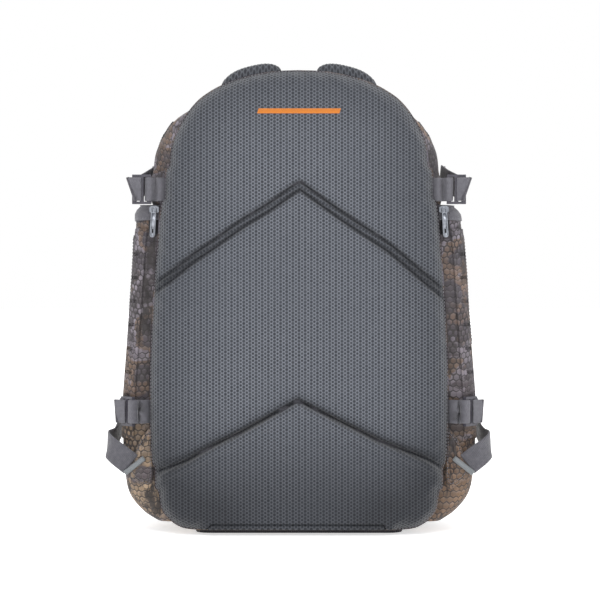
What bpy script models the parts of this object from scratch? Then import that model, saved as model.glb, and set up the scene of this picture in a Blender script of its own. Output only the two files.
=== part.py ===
"""Tackle backpack, standing on its base with the shoulder straps folded over the top to the front.

Frame: metres, +Z up. The wearer's side (padded back panel) faces -Y, the tray door faces +Y, and the
origin is on the floor under the middle of the base. Side is -1 for the left parts and +1 for the right.
"""
import math

import bmesh
import bpy
from mathutils import Matrix, Vector

GAP = 0.0004                # clearance between neighbouring pieces
CUT_GAP = 0.0007            # clearance along a cut between a door and its opening
WALL = 0.0030               # padded fabric wall of the shell
CUTTER_REACH = 0.010        # how far a cutter stands past a thin sheet
POCKET_WALL = 0.0025

# Back panel outline, right half, from the bottom middle to the top middle: (x, z)
PANEL_HALF = [(0.0, 0.006), (0.104, 0.006), (0.124, 0.009), (0.143, 0.026), (0.153, 0.075), (0.156, 0.150),
              (0.152, 0.250), (0.143, 0.350), (0.132, 0.412), (0.106, 0.455), (0.070, 0.476), (0.030, 0.4855),
              (0.0, 0.487)]
PANEL_BOTTOM = 0.006
PANEL_TOP = 0.487
OUTLINE_STEPS = 2

# Padded back panel
PAD_FRONT_Y = -0.0808
PAD_BACK_Y = -0.1010
MESH_BACK_Y = -0.1040
MESH_THICKNESS = 0.0020
PIPING_GROW = 0.0025
PIPING_DEPTH = 0.0065

# Main shell: (y, width factor, height of the top)
SHELL_RINGS = [(-0.080, 1.000, 0.476), (-0.066, 1.030, 0.478), (-0.030, 1.040, 0.476), (0.010, 1.035, 0.463),
               (0.045, 1.010, 0.430), (0.070, 0.970, 0.385), (0.087, 0.910, 0.330), (0.095, 0.850, 0.270)]
SHELL_BOTTOM = 0.0034
BASE_THICKNESS = 0.0030
BASE_HALF_X = 0.110
BASE_Y = (-0.076, 0.084)
BASE_CORNER = 0.015
FRAME_SHEET_THICKNESS = 0.0015
DIVIDER_Z = 0.222

# Lid of the upper compartment: its cut runs from the back down to the front
LID_BACK = (-0.066, 0.460)
LID_FRONT = (0.090, 0.262)
LID_HINGE = Vector((0.0, -0.066, 0.480))
ZIP_TAPE = 0.009
TAPE_THICKNESS = 0.0010

# Tray door in the lower front
DOOR_HALF_X = 0.110
DOOR_Z = (0.028, 0.200)
DOOR_HINGE_Y = 0.0955
SLOT_SHEET_THICKNESS = 0.0012
SLOT_HEIGHT = 0.0035
SLOT_LENGTH = 0.028
SLOT_PITCH = 0.025
DOOR_SHEET_HALF_X = 0.098
DOOR_SHEET_Z = (0.044, 0.184)
DOOR_SLOT_ROWS = 5
DOOR_SLOT_COLUMNS = 4
DOOR_SLOT_START_Z = 0.064
DOOR_SLOT_SPACING_X = 0.040

# Side pocket: (z, distance of the outer face from the middle, front end)
POCKET_RINGS = [(0.020, 0.150, 0.016), (0.028, 0.165, 0.024), (0.045, 0.176, 0.030), (0.080, 0.184, 0.030),
                (0.125, 0.187, 0.030), (0.170, 0.185, 0.030), (0.210, 0.182, 0.030), (0.250, 0.1785, 0.030),
                (0.290, 0.1752, 0.028), (0.322, 0.172, 0.020), (0.338, 0.167, 0.012), (0.346, 0.157, 0.004)]
POCKET_BACK_Y = -0.0755
FLAP_Z = (0.190, 0.328)
FLAP_Y = (-0.064, 0.012)
CAP_Z = 0.331
FLAP_INNER_X = 0.162         # the flap is the part of the outer face beyond this
FAR_X = 0.220                # beyond every side part
SIDE_SHEET_Z = (0.200, 0.316)
SIDE_SHEET_INSET = (0.006, 0.008)
SIDE_SLOT_ROWS = 4
SIDE_SLOT_START = (-0.044, 0.2085)

# Webbing and hardware
WEBBING = 0.025
WEBBING_THICKNESS = 0.0018
LOCK_LENGTH = 0.020
LOCK_WIDTH = 0.031
LOCK_THICKNESS = 0.0040
PULL_LENGTH = 0.030
PULL_WIDTH = 0.0070
PULL_THICKNESS = 0.0018

# Shoulder straps: (y, x) of the middle line on the lid and how far the edges bend down beside it;
# the fold is between the two links
STRAP_UPPER = [(-0.048, 0.050, 0.0020), (-0.020, 0.050, 0.0020), (0.006, 0.051, 0.0018)]
STRAP_LOWER = [(0.0125, 0.0515, 0.0016), (0.036, 0.055, 0.0012), (0.058, 0.060, 0.0008), (0.075, 0.067, 0.0004),
               (0.087, 0.074, 0.0), (0.0925, 0.080, 0.0)]
STRAP_HALF_WIDTH = 0.032
STRAP_THICKNESS = 0.012
STRAP_EDGE = 0.005
STRAP_CLEARANCE = 0.0028


def clear_scene():
    for old in list(bpy.data.objects):
        bpy.data.objects.remove(old, do_unlink=True)


def make_material(name, colour, roughness, metallic=0.0):
    material = bpy.data.materials.new(name)
    material.use_nodes = True
    shader = material.node_tree.nodes["Principled BSDF"]
    shader.inputs["Base Color"].default_value = (*colour, 1.0)
    shader.inputs["Roughness"].default_value = roughness
    shader.inputs["Metallic"].default_value = metallic
    material.diffuse_color = (*colour, 1.0)
    return material


def make_object(name, mesh_data, finish):
    """Turns a bmesh into a named object with closed, outward-facing triangles."""
    bmesh.ops.remove_doubles(mesh_data, verts=mesh_data.verts, dist=1e-6)
    bmesh.ops.recalc_face_normals(mesh_data, faces=mesh_data.faces)
    bmesh.ops.triangulate(mesh_data, faces=mesh_data.faces)
    mesh = bpy.data.meshes.new(name)
    mesh_data.to_mesh(mesh)
    mesh_data.free()
    piece = bpy.data.objects.new(name, mesh)
    bpy.context.collection.objects.link(piece)
    piece.data.materials.append(finish)
    return piece


def set_pivot(piece, pivot):
    """Moves the object's origin to its joint without moving its shape."""
    pivot = Vector(pivot)
    piece.data.transform(Matrix.Translation(-pivot))
    piece.location = pivot


def combine(piece, cutter, operation):
    """Boolean of the piece with a cutter, which is used up."""
    finish = piece.data.materials[0]
    modifier = piece.modifiers.new("shape", "BOOLEAN")
    modifier.operation = operation
    modifier.object = cutter
    modifier.solver = "EXACT"
    bpy.context.view_layer.update()
    depsgraph = bpy.context.evaluated_depsgraph_get()
    shape = bpy.data.meshes.new_from_object(piece.evaluated_get(depsgraph))
    piece.modifiers.clear()
    piece.data = shape
    bpy.data.objects.remove(cutter, do_unlink=True)
    work = bmesh.new()
    work.from_mesh(shape)
    bmesh.ops.remove_doubles(work, verts=work.verts, dist=1e-6)
    bmesh.ops.dissolve_degenerate(work, edges=work.edges, dist=1e-6)
    bmesh.ops.triangulate(work, faces=work.faces)
    work.to_mesh(shape)
    work.free()
    shape.materials.clear()
    shape.materials.append(finish)
    return piece


def duplicate(piece, name):
    copy = bpy.data.objects.new(name, piece.data.copy())
    bpy.context.collection.objects.link(copy)
    return copy


def smooth_path(points, steps):
    """Centripetal Catmull-Rom curve through the points, with the given steps in each span."""
    points = [Vector(point) for point in points]
    chain = [2.0 * points[0] - points[1]] + points + [2.0 * points[-1] - points[-2]]
    curve = []
    for before, start, end, after in zip(chain, chain[1:], chain[2:], chain[3:]):
        time_1 = math.sqrt((start - before).length)
        time_2 = time_1 + math.sqrt((end - start).length)
        time_3 = time_2 + math.sqrt((after - end).length)
        for step in range(steps):
            time = time_1 + (time_2 - time_1) * step / steps
            first = before.lerp(start, time / time_1)
            second = start.lerp(end, (time - time_1) / (time_2 - time_1))
            third = end.lerp(after, (time - time_2) / (time_3 - time_2))
            left = first.lerp(second, time / time_2)
            right = second.lerp(third, (time - time_1) / (time_3 - time_1))
            curve.append(left.lerp(right, (time - time_1) / (time_2 - time_1)))
    curve.append(points[-1])
    return curve


def panel_outline():
    """Closed back panel outline as (x, z), from the bottom middle round the right side."""
    curve = smooth_path([(x, z, 0.0) for x, z in PANEL_HALF], OUTLINE_STEPS)
    right = [Vector((point.x, max(point.y, PANEL_BOTTOM))) for point in curve]
    left = [Vector((-point.x, point.y)) for point in reversed(right[1:-1])]
    return right + left


def grow_outline(outline, distance):
    """Moves each point of a closed 2-D outline outward along its normal."""
    grown = []
    for index, point in enumerate(outline):
        along = outline[(index + 1) % len(outline)] - outline[index - 1]
        grown.append(point + distance * Vector((along.y, -along.x)).normalized())
    return grown


def shell_outline(width_factor, top, grow):
    """The panel outline fitted to a ring of the shell."""
    stretch = (top - SHELL_BOTTOM) / (PANEL_TOP - PANEL_BOTTOM)
    fitted = [Vector((point.x * width_factor, SHELL_BOTTOM + (point.y - PANEL_BOTTOM) * stretch))
              for point in panel_outline()]
    return grow_outline(fitted, grow)


def loft(rings):
    """Closed body through rings of equally many points, with flat ends."""
    work = bmesh.new()
    loops = [[work.verts.new(point) for point in ring] for ring in rings]
    count = len(loops[0])
    for near, far in zip(loops, loops[1:]):
        for index in range(count):
            following = (index + 1) % count
            work.faces.new((near[index], near[following], far[following], far[index]))
    work.faces.new(list(reversed(loops[0])))
    work.faces.new(loops[-1])
    return work


def depth_ring(outline, y):
    return [(point.x, y, point.y) for point in outline]


def box(low, high):
    work = bmesh.new()
    bmesh.ops.create_cube(work, size=1.0)
    low, high = Vector(low), Vector(high)
    for vert in work.verts:
        vert.co = [(low[axis] + high[axis]) / 2 + vert.co[axis] * (high[axis] - low[axis]) for axis in range(3)]
    return work


def side_box(side, low, high):
    """A box given for the right side, mirrored for the left."""
    near, far = sorted((side * low[0], side * high[0]))
    return box((near, low[1], low[2]), (far, high[1], high[2]))


def profile_prism(profile, half_width):
    """A (y, z) profile drawn out along X."""
    return loft([[(-half_width, y, z) for y, z in profile], [(half_width, y, z) for y, z in profile]])


def tool(mesh_data):
    """A temporary cutter."""
    return make_object("cutter", mesh_data, None)


# ---------------------------------------------------------------- shell, lid and door

def shell_body(grow, inset=0.0):
    """The outer form of the shell, grown outward, with its two flat ends moved in by the inset."""
    rings = []
    for index, (y, width_factor, top) in enumerate(SHELL_RINGS):
        shift = 0.0
        if index == 0:
            shift = inset
        elif y > 0.0:
            shift = -inset
        rings.append(depth_ring(shell_outline(width_factor, top, grow), y + shift))
    return loft(rings)


def lid_line(y):
    slope = (LID_FRONT[1] - LID_BACK[1]) / (LID_FRONT[0] - LID_BACK[0])
    return LID_BACK[1] + slope * (y - LID_BACK[0])


def lid_space(shift):
    """Everything above the lid's slanted cut; a positive shift lowers the cut and moves its back edge back."""
    slope = (LID_FRONT[1] - LID_BACK[1]) / (LID_FRONT[0] - LID_BACK[0])
    drop = shift * math.sqrt(1.0 + slope * slope)
    back = LID_BACK[0] - shift
    front = 0.160
    return profile_prism([(back, lid_line(back) - drop), (front, lid_line(front) - drop), (front, 0.60),
                          (back, 0.60)], 0.25)


def make_shell_parts(finishes):
    shell = make_object("main_shell", shell_body(0.0), finishes["camo"])
    combine(shell, tool(shell_body(-WALL, WALL)), "DIFFERENCE")
    lid = duplicate(shell, "top_lid")
    combine(lid, tool(lid_space(0.0)), "INTERSECT")
    combine(shell, tool(lid_space(CUT_GAP)), "DIFFERENCE")
    door = duplicate(shell, "tray_door")
    low = Vector((-DOOR_HALF_X, 0.088, DOOR_Z[0]))
    high = Vector((DOOR_HALF_X, 0.110, DOOR_Z[1]))
    margin = Vector((CUT_GAP, 0.004, CUT_GAP))
    combine(door, tool(box(low, high)), "INTERSECT")
    combine(shell, tool(box(low - margin, high + margin)), "DIFFERENCE")
    set_pivot(lid, LID_HINGE)
    set_pivot(door, (0.0, DOOR_HINGE_Y, DOOR_Z[0]))


def make_base_panel(finishes):
    work = box((-BASE_HALF_X, BASE_Y[0], 0.0), (BASE_HALF_X, BASE_Y[1], BASE_THICKNESS))
    upright = [edge for edge in work.edges if abs(edge.verts[0].co.z - edge.verts[1].co.z) > 0.001]
    bmesh.ops.bevel(work, geom=upright, offset=BASE_CORNER, segments=4, affect="EDGES", profile=0.5)
    make_object("base_panel", work, finishes["base"])


def make_inner_plates(finishes):
    """The stiff frame sheet behind the back wall and the divider above the tray compartment."""
    back = SHELL_RINGS[0][0] + WALL + GAP
    outline = grow_outline(shell_outline(1.0, SHELL_RINGS[0][2], 0.0), -0.010)
    sheet = loft([depth_ring(outline, back), depth_ring(outline, back + FRAME_SHEET_THICKNESS)])
    make_object("frame_sheet", sheet, finishes["plastic"])
    divider = make_object("mid_divider", shell_body(-WALL - GAP, WALL + 3 * GAP + FRAME_SHEET_THICKNESS),
                          finishes["lining"])
    combine(divider, tool(box((-0.3, -0.2, DIVIDER_Z), (0.3, 0.2, DIVIDER_Z + 0.0025))), "INTERSECT")


def tape_band(name, side_of_cut, finish):
    """Zip tape lying on the shell along the lid's cut: side_of_cut is +1 on the lid and -1 on the shell."""
    band = make_object(name, shell_body(GAP + TAPE_THICKNESS, -GAP - TAPE_THICKNESS), finish)
    combine(band, tool(shell_body(GAP, -GAP)), "DIFFERENCE")
    if side_of_cut > 0:
        combine(band, tool(lid_space(-GAP)), "INTERSECT")
        combine(band, tool(lid_space(-GAP - ZIP_TAPE)), "DIFFERENCE")
    else:
        combine(band, tool(lid_space(GAP + CUT_GAP + ZIP_TAPE)), "INTERSECT")
        combine(band, tool(lid_space(GAP + CUT_GAP)), "DIFFERENCE")
    combine(band, tool(box((-0.3, -0.3, 0.0), (0.3, LID_BACK[0] + 0.016, 0.7))), "DIFFERENCE")
    return band


def make_door_webbing(finishes):
    """Laser-cut laminate sheet with rows of slots on the tray door."""
    y = SHELL_RINGS[-1][0] + GAP
    sheet = make_object("door_slot_panel",
                        box((-DOOR_SHEET_HALF_X, y, DOOR_SHEET_Z[0]),
                            (DOOR_SHEET_HALF_X, y + SLOT_SHEET_THICKNESS, DOOR_SHEET_Z[1])), finishes["camo"])
    for row in range(DOOR_SLOT_ROWS):
        z = DOOR_SLOT_START_Z + row * SLOT_PITCH
        for column in range(DOOR_SLOT_COLUMNS):
            x = (column - (DOOR_SLOT_COLUMNS - 1) / 2) * DOOR_SLOT_SPACING_X
            slot = box((x - SLOT_LENGTH / 2, y - CUTTER_REACH, z),
                       (x + SLOT_LENGTH / 2, y + CUTTER_REACH, z + SLOT_HEIGHT))
            combine(sheet, tool(slot), "DIFFERENCE")
    set_pivot(sheet, (0.0, DOOR_HINGE_Y, DOOR_Z[0]))


# ---------------------------------------------------------------- back panel

def make_back_panel(finishes):
    outline = panel_outline()

    def pad(grow, back_y, lip=0.0):
        rings = [depth_ring(grow_outline(outline, grow), PAD_FRONT_Y),
                 depth_ring(grow_outline(outline, grow - 0.0015), back_y + 0.010),
                 depth_ring(grow_outline(outline, grow - 0.0050), back_y + 0.0035),
                 depth_ring(grow_outline(outline, grow - 0.0110), back_y)]
        if lip > 0.0:
            rings.insert(0, depth_ring(grow_outline(outline, grow), PAD_FRONT_Y + lip))
        return loft(rings)

    make_object("back_foam", pad(-MESH_THICKNESS - GAP, PAD_BACK_Y), finishes["foam"])
    cover = make_object("back_mesh", pad(0.0, MESH_BACK_Y), finishes["mesh"])
    hollow = pad(-MESH_THICKNESS, PAD_BACK_Y - GAP, 0.005)
    combine(cover, tool(hollow), "DIFFERENCE")
    inner, outer = grow_outline(outline, GAP), grow_outline(outline, PIPING_GROW)
    piping = make_object("panel_piping", loft([depth_ring(outer, PAD_FRONT_Y - PIPING_DEPTH),
                                               depth_ring(outer, PAD_FRONT_Y)]), finishes["binding"])
    combine(piping, tool(loft([depth_ring(inner, PAD_FRONT_Y - 0.02), depth_ring(inner, PAD_FRONT_Y + 0.02)])),
            "DIFFERENCE")


# ---------------------------------------------------------------- side pockets

def pocket_body(side, grow):
    """Outer form of a side pocket; its inner side reaches into the shell."""
    rings = []
    for index, (z, outer, front) in enumerate(POCKET_RINGS):
        x = outer + grow
        back = POCKET_BACK_Y - grow
        front_y = front + grow
        if index == 0:
            z -= grow
        elif z > 0.3:
            z += grow
        inner = 0.115 - grow
        points = [(inner, back), (x - 0.016, back), (x - 0.005, back + 0.004), (x, back + 0.016),
                  (x, front_y - 0.026), (x - 0.004, front_y - 0.012), (x - 0.014, front_y - 0.003),
                  (inner, front_y)]
        rings.append([(side * px, py, z) for px, py in points])
    return loft(rings)


def make_side_pocket(side, finishes):
    name = side_name(side)
    pocket = make_object("side_pocket_" + name, pocket_body(side, 0.0), finishes["camo"])
    combine(pocket, tool(pocket_body(side, -POCKET_WALL)), "DIFFERENCE")
    combine(pocket, tool(shell_body(GAP)), "DIFFERENCE")
    flap = duplicate(pocket, "side_flap_" + name)
    low = Vector((FLAP_INNER_X, FLAP_Y[0], FLAP_Z[0]))
    high = Vector((FAR_X, FLAP_Y[1], FLAP_Z[1]))
    margin = Vector((0.001, CUT_GAP, CUT_GAP))
    combine(flap, tool(side_box(side, low, high)), "INTERSECT")
    combine(pocket, tool(side_box(side, low - margin, high + margin)), "DIFFERENCE")
    hinge = flap_hinge(side)
    set_pivot(flap, hinge)

    slots = make_object("side_slot_panel_" + name, pocket_body(side, GAP + SLOT_SHEET_THICKNESS), finishes["camo"])
    combine(slots, tool(pocket_body(side, GAP)), "DIFFERENCE")
    area = side_box(side, (POCKET_RINGS[0][1], FLAP_Y[0] + SIDE_SHEET_INSET[0], SIDE_SHEET_Z[0]),
                    (FAR_X, FLAP_Y[1] - SIDE_SHEET_INSET[1], SIDE_SHEET_Z[1]))
    combine(slots, tool(area), "INTERSECT")
    for row in range(SIDE_SLOT_ROWS):
        y, z = SIDE_SLOT_START[0], SIDE_SLOT_START[1] + row * SLOT_PITCH
        slot = side_box(side, (POCKET_RINGS[0][1], y, z), (FAR_X, y + SLOT_LENGTH, z + SLOT_HEIGHT))
        combine(slots, tool(slot), "DIFFERENCE")
    set_pivot(slots, hinge)

    cap = make_object("side_cap_" + name, pocket_body(side, GAP + TAPE_THICKNESS), finishes["webbing"])
    combine(cap, tool(pocket_body(side, GAP)), "DIFFERENCE")
    combine(cap, tool(side_box(side, (0.100, -0.09, CAP_Z), (FAR_X, 0.05, 0.40))), "INTERSECT")
    combine(cap, tool(shell_body(2 * GAP)), "DIFFERENCE")


def flap_hinge(side):
    outer = 0.0
    for (z_low, x_low, _), (z_high, x_high, _) in zip(POCKET_RINGS, POCKET_RINGS[1:]):
        if z_low <= FLAP_Z[0] <= z_high:
            outer = x_low + (x_high - x_low) * (FLAP_Z[0] - z_low) / (z_high - z_low)
    return Vector((side * outer, (FLAP_Y[0] + FLAP_Y[1]) / 2, FLAP_Z[0]))


def side_name(side):
    return "left" if side < 0 else "right"


# ---------------------------------------------------------------- webbing and hardware

def ribbon(points, normals, width, thickness, steps):
    """Flat strap through the points; each normal is the way its outer face looks there."""
    centres = smooth_path(points, steps)
    rings = []
    for index, centre in enumerate(centres):
        ahead = centres[min(index + 1, len(centres) - 1)] - centres[max(index - 1, 0)]
        span = min(index // steps, len(normals) - 2)
        looks = Vector(normals[span]).lerp(Vector(normals[span + 1]), index / steps - span)
        across = ahead.cross(looks).normalized()
        facing = across.cross(ahead).normalized()
        rings.append([centre + across * (sign_a * width / 2) + facing * (sign_b * thickness / 2)
                      for sign_a, sign_b in ((-1, -1), (1, -1), (1, 1), (-1, 1))])
    return loft(rings)


def mirrored(side, points):
    return [(side * x, y, z) for x, y, z in points]


def ladder_lock():
    """Ladder lock lying in XZ with its inner bar on the origin: three bars across the webbing, two slots."""
    work = bmesh.new()
    bars = [0.0, 0.0045, 0.0080, 0.0120, 0.0155, LOCK_LENGTH]
    rails = [-LOCK_WIDTH / 2, -LOCK_WIDTH / 2 + 0.0025, LOCK_WIDTH / 2 - 0.0025, LOCK_WIDTH / 2]
    half = LOCK_THICKNESS / 2
    grid = {}
    for ix, x in enumerate(bars):
        for iz, z in enumerate(rails):
            for iy, y in enumerate((-half, half)):
                grid[ix, iz, iy] = work.verts.new((x, y, z))

    def is_solid(ix, iz):
        inside = 0 <= ix < 5 and 0 <= iz < 3
        return inside and not (iz == 1 and ix in (1, 3))

    for ix in range(5):
        for iz in range(3):
            if not is_solid(ix, iz):
                continue
            corners = [(ix, iz), (ix + 1, iz), (ix + 1, iz + 1), (ix, iz + 1)]
            for level in (0, 1):
                work.faces.new([grid[cx, cz, level] for cx, cz in corners])
            edges = [((ix, iz), (ix + 1, iz), (ix, iz - 1)), ((ix + 1, iz), (ix + 1, iz + 1), (ix + 1, iz)),
                     ((ix + 1, iz + 1), (ix, iz + 1), (ix, iz + 1)), ((ix, iz + 1), (ix, iz), (ix - 1, iz))]
            for start, end, neighbour in edges:
                if not is_solid(*neighbour):
                    work.faces.new([grid[start[0], start[1], 0], grid[end[0], end[1], 0],
                                    grid[end[0], end[1], 1], grid[start[0], start[1], 1]])
    return work


def placed(mesh_data, origin, along, facing):
    """Puts a part drawn with its length on +X and its outer face on -Y at a place in the world."""
    along = Vector(along).normalized()
    across = along.cross(-Vector(facing)).normalized()
    depth = across.cross(along).normalized()
    matrix = Matrix((along, depth, across)).transposed().to_4x4()
    matrix.translation = Vector(origin)
    bmesh.ops.transform(mesh_data, matrix=matrix, verts=mesh_data.verts)
    return mesh_data


def make_compression_set(side, level, places, finishes):
    """Sewn tab, ladder lock with its tail, and webbing of one compression strap."""
    name = level + "_" + side_name(side)
    tab = ribbon(mirrored(side, places["tab"]), [(0, -1, 0), (0, -1, 0)], WEBBING, WEBBING_THICKNESS, 1)
    make_object("tab_" + name, tab, finishes["webbing"])
    start = Vector(mirrored(side, [places["lock"]])[0])
    along = Vector(mirrored(side, [places["along"]])[0]).normalized()
    facing = Vector((along.y, -along.x, 0.0)) * side
    lock = make_object("lock_" + name, placed(ladder_lock(), start, along, facing), finishes["buckle"])
    set_pivot(lock, start)
    tail_start = start + along * (LOCK_LENGTH - 0.004) + facing * (LOCK_THICKNESS / 2 + 0.0014)
    tail_end = tail_start + along * places["tail"] + facing * 0.004
    tail = make_object("tail_" + name, ribbon([tail_start, tail_end], [facing, facing], WEBBING,
                                              WEBBING_THICKNESS, 2), finishes["webbing"])
    set_pivot(tail, start)
    strap_points = mirrored(side, places["strap"])
    strap_normals = mirrored(side, places["normals"])
    make_object("compression_" + name, ribbon(strap_points, strap_normals, WEBBING, WEBBING_THICKNESS, 3),
                finishes["webbing"])


UPPER_SET = {
    "tab": [(0.1466, -0.0850, 0.363), (0.1550, -0.0855, 0.363)],
    "lock": (0.1556, -0.0855, 0.363),
    "along": (1.0, 0.05, 0.0),
    "tail": 0.0065,
    "strap": [(0.1730, -0.0795, 0.363), (0.1738, -0.0700, 0.364), (0.1690, -0.0560, 0.368),
              (0.1600, -0.0380, 0.375), (0.1535, -0.0200, 0.382)],
    "normals": [(1, -0.6, 0), (1, 0, 0), (1, 0.2, 0), (1, 0.2, 0), (1, 0.2, 0)],
}
LOWER_SET = {
    "tab": [(0.1605, -0.0850, 0.129), (0.1715, -0.0870, 0.129)],
    "lock": (0.1742, -0.0868, 0.129),
    "along": (0.66, 0.75, 0.0),
    "tail": 0.0060,
    "strap": [(0.1895, -0.0665, 0.129), (0.1915, -0.0500, 0.129), (0.1915, -0.0100, 0.129),
              (0.1885, 0.0180, 0.129), (0.1800, 0.0360, 0.129), (0.1665, 0.0480, 0.129)],
    "normals": [(1, -0.3, 0), (1, 0, 0), (1, 0, 0), (1, 0.35, 0), (0.7, 0.7, 0), (0.6, 0.8, 0)],
}


def make_wing(side, finishes):
    """Triangular fabric anchor on the back seam, and the strap's lower webbing that runs round to the front."""
    name = side_name(side)
    profile = [(0.1625, 0.112), (0.1625, 0.048), (0.1760, 0.0585), (0.1720, 0.0860)]
    work = loft([[(side * x, -0.0815, z) for x, z in profile], [(side * x, -0.0793, z) for x, z in profile]])
    make_object("wing_" + name, work, finishes["camo"])
    route = [(0.1775, -0.0825, 0.0735), (0.1900, -0.0840, 0.0835), (0.2005, -0.0800, 0.0935),
             (0.2045, -0.0640, 0.0995), (0.2045, -0.0300, 0.1030), (0.2010, 0.0150, 0.1150),
             (0.1890, 0.0560, 0.1430), (0.1650, 0.0880, 0.1800), (0.1380, 0.1070, 0.2090),
             (0.1180, 0.1130, 0.2310)]
    normals = [(0, -1, 0), (0.15, -1, 0), (0.7, -0.8, 0), (1, -0.2, 0), (1, 0, 0), (1, 0.15, 0),
               (0.85, 0.5, 0), (0.5, 0.85, 0), (0.3, 1, 0.1), (0.2, 1, 0.2)]
    make_object("strap_webbing_" + name, ribbon(mirrored(side, route), mirrored(side, normals), WEBBING,
                                                WEBBING_THICKNESS, 2), finishes["webbing"])


# ---------------------------------------------------------------- zips

def slider_shape():
    """Zip slider drawn with its length on +X, 10 mm long, 8 mm wide and 3.4 mm thick."""
    half = [(-0.005, 0.0025), (-0.002, 0.004), (0.003, 0.004), (0.005, 0.002)]
    outline = half + [(x, -z) for x, z in reversed(half)]
    return loft([[(x, -0.0017, z) for x, z in outline], [(x, 0.0017, z) for x, z in outline]])


def pull_shape(length):
    """Pull tab hanging from the origin along -Z, with a window near its end."""
    half = PULL_WIDTH / 2
    outline = [(-half, -0.006), (-half, -length + 0.002), (-half * 0.6, -length), (half * 0.6, -length),
               (half, -length + 0.002), (half, -0.006), (half * 0.6, 0.0), (-half * 0.6, 0.0)]
    depth = PULL_THICKNESS / 2
    return loft([[(x, -depth, z) for x, z in outline], [(x, depth, z) for x, z in outline]])


def make_zip_puller(name, place, along, facing, hang, length, slider_pivot, finishes):
    """Slider at a place on a zip, and the pull that hangs from it."""
    place, facing, hang = Vector(place), Vector(facing).normalized(), Vector(hang).normalized()
    slider = make_object(name + "_slider", placed(slider_shape(), place, along, facing), finishes["metal"])
    set_pivot(slider, slider_pivot)
    across = hang.cross(facing).normalized()
    hinge = place + facing * (0.0017 + 0.0004 + PULL_THICKNESS / 2)
    work = pull_shape(length)
    matrix = Matrix((across, facing, -hang)).transposed().to_4x4()
    matrix.translation = hinge
    bmesh.ops.transform(work, matrix=matrix, verts=work.verts)
    pull = make_object(name + "_pull", work, finishes["metal"])
    window_low, window_high = -length + 0.003, -length + 0.010
    window = box((-0.0015, -0.01, window_low), (0.0015, 0.01, window_high))
    bmesh.ops.transform(window, matrix=matrix, verts=window.verts)
    combine(pull, tool(window), "DIFFERENCE")
    set_pivot(pull, hinge)
    return hinge


# ---------------------------------------------------------------- shoulder straps

def arch_height(x):
    """Height of the panel outline above a distance from the middle."""
    upper = [point for point in panel_outline() if point.x >= 0.0 and point.y > 0.16]
    for low, high in zip(upper, upper[1:]):
        if high.x <= abs(x) <= low.x:
            return low.y + (high.y - low.y) * (low.x - abs(x)) / (low.x - high.x)
    return upper[0].y


def lid_height(x, y):
    """Height of the shell's top over a point of the floor plane."""
    for (y_near, width_near, top_near), (y_far, width_far, top_far) in zip(SHELL_RINGS, SHELL_RINGS[1:]):
        if y_near <= y <= y_far:
            share = (y - y_near) / (y_far - y_near)
            width = width_near + (width_far - width_near) * share
            top = top_near + (top_far - top_near) * share
            stretch = (top - SHELL_BOTTOM) / (PANEL_TOP - PANEL_BOTTOM)
            return SHELL_BOTTOM + (arch_height(x / width) - PANEL_BOTTOM) * stretch
    raise ValueError("outside the shell")


def strap_frames(side, line):
    """Middle of the strap's underside, direction, width direction and outward direction at each point."""
    spots = []
    for y, x, _ in line:
        step = 0.002
        slope_x = (lid_height(x + 0.012, y) - lid_height(x - 0.012, y)) / 0.024
        slope_y = (lid_height(x, y + step) - lid_height(x, y - step)) / (2 * step)
        outward = Vector((-slope_x, -slope_y, 1.0)).normalized()
        spots.append((Vector((x, y, lid_height(x, y))) + outward * STRAP_CLEARANCE, outward))
    frames = []
    for index, (spot, outward) in enumerate(spots):
        along = (spots[min(index + 1, len(spots) - 1)][0] - spots[max(index - 1, 0)][0]).normalized()
        across = along.cross(outward).normalized()
        if across.x < 0:
            across = -across
        outward = across.cross(along)
        if outward.z < 0:
            outward = -outward
        frames.append([Vector((side * v.x, v.y, v.z)) for v in (spot, along, across, outward)])
    return frames


def strap_link(side, line):
    """One link of a shoulder strap: thick in the middle, thin at its edges, bent over the lid's arch."""
    section = [(-1.0, 0.0), (0.0, 0.0), (1.0, 0.0), (1.0, STRAP_EDGE), (0.72, STRAP_THICKNESS * 0.9),
               (0.0, STRAP_THICKNESS), (-0.72, STRAP_THICKNESS * 0.9), (-1.0, STRAP_EDGE)]
    rings = []
    for (spot, _, across, outward), (_, _, sag) in zip(strap_frames(side, line), line):
        ring = []
        for share, height in section:
            ring.append(spot + across * (share * STRAP_HALF_WIDTH) + outward * (height - sag * share * share))
        rings.append(ring)
    return loft(rings)


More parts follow.
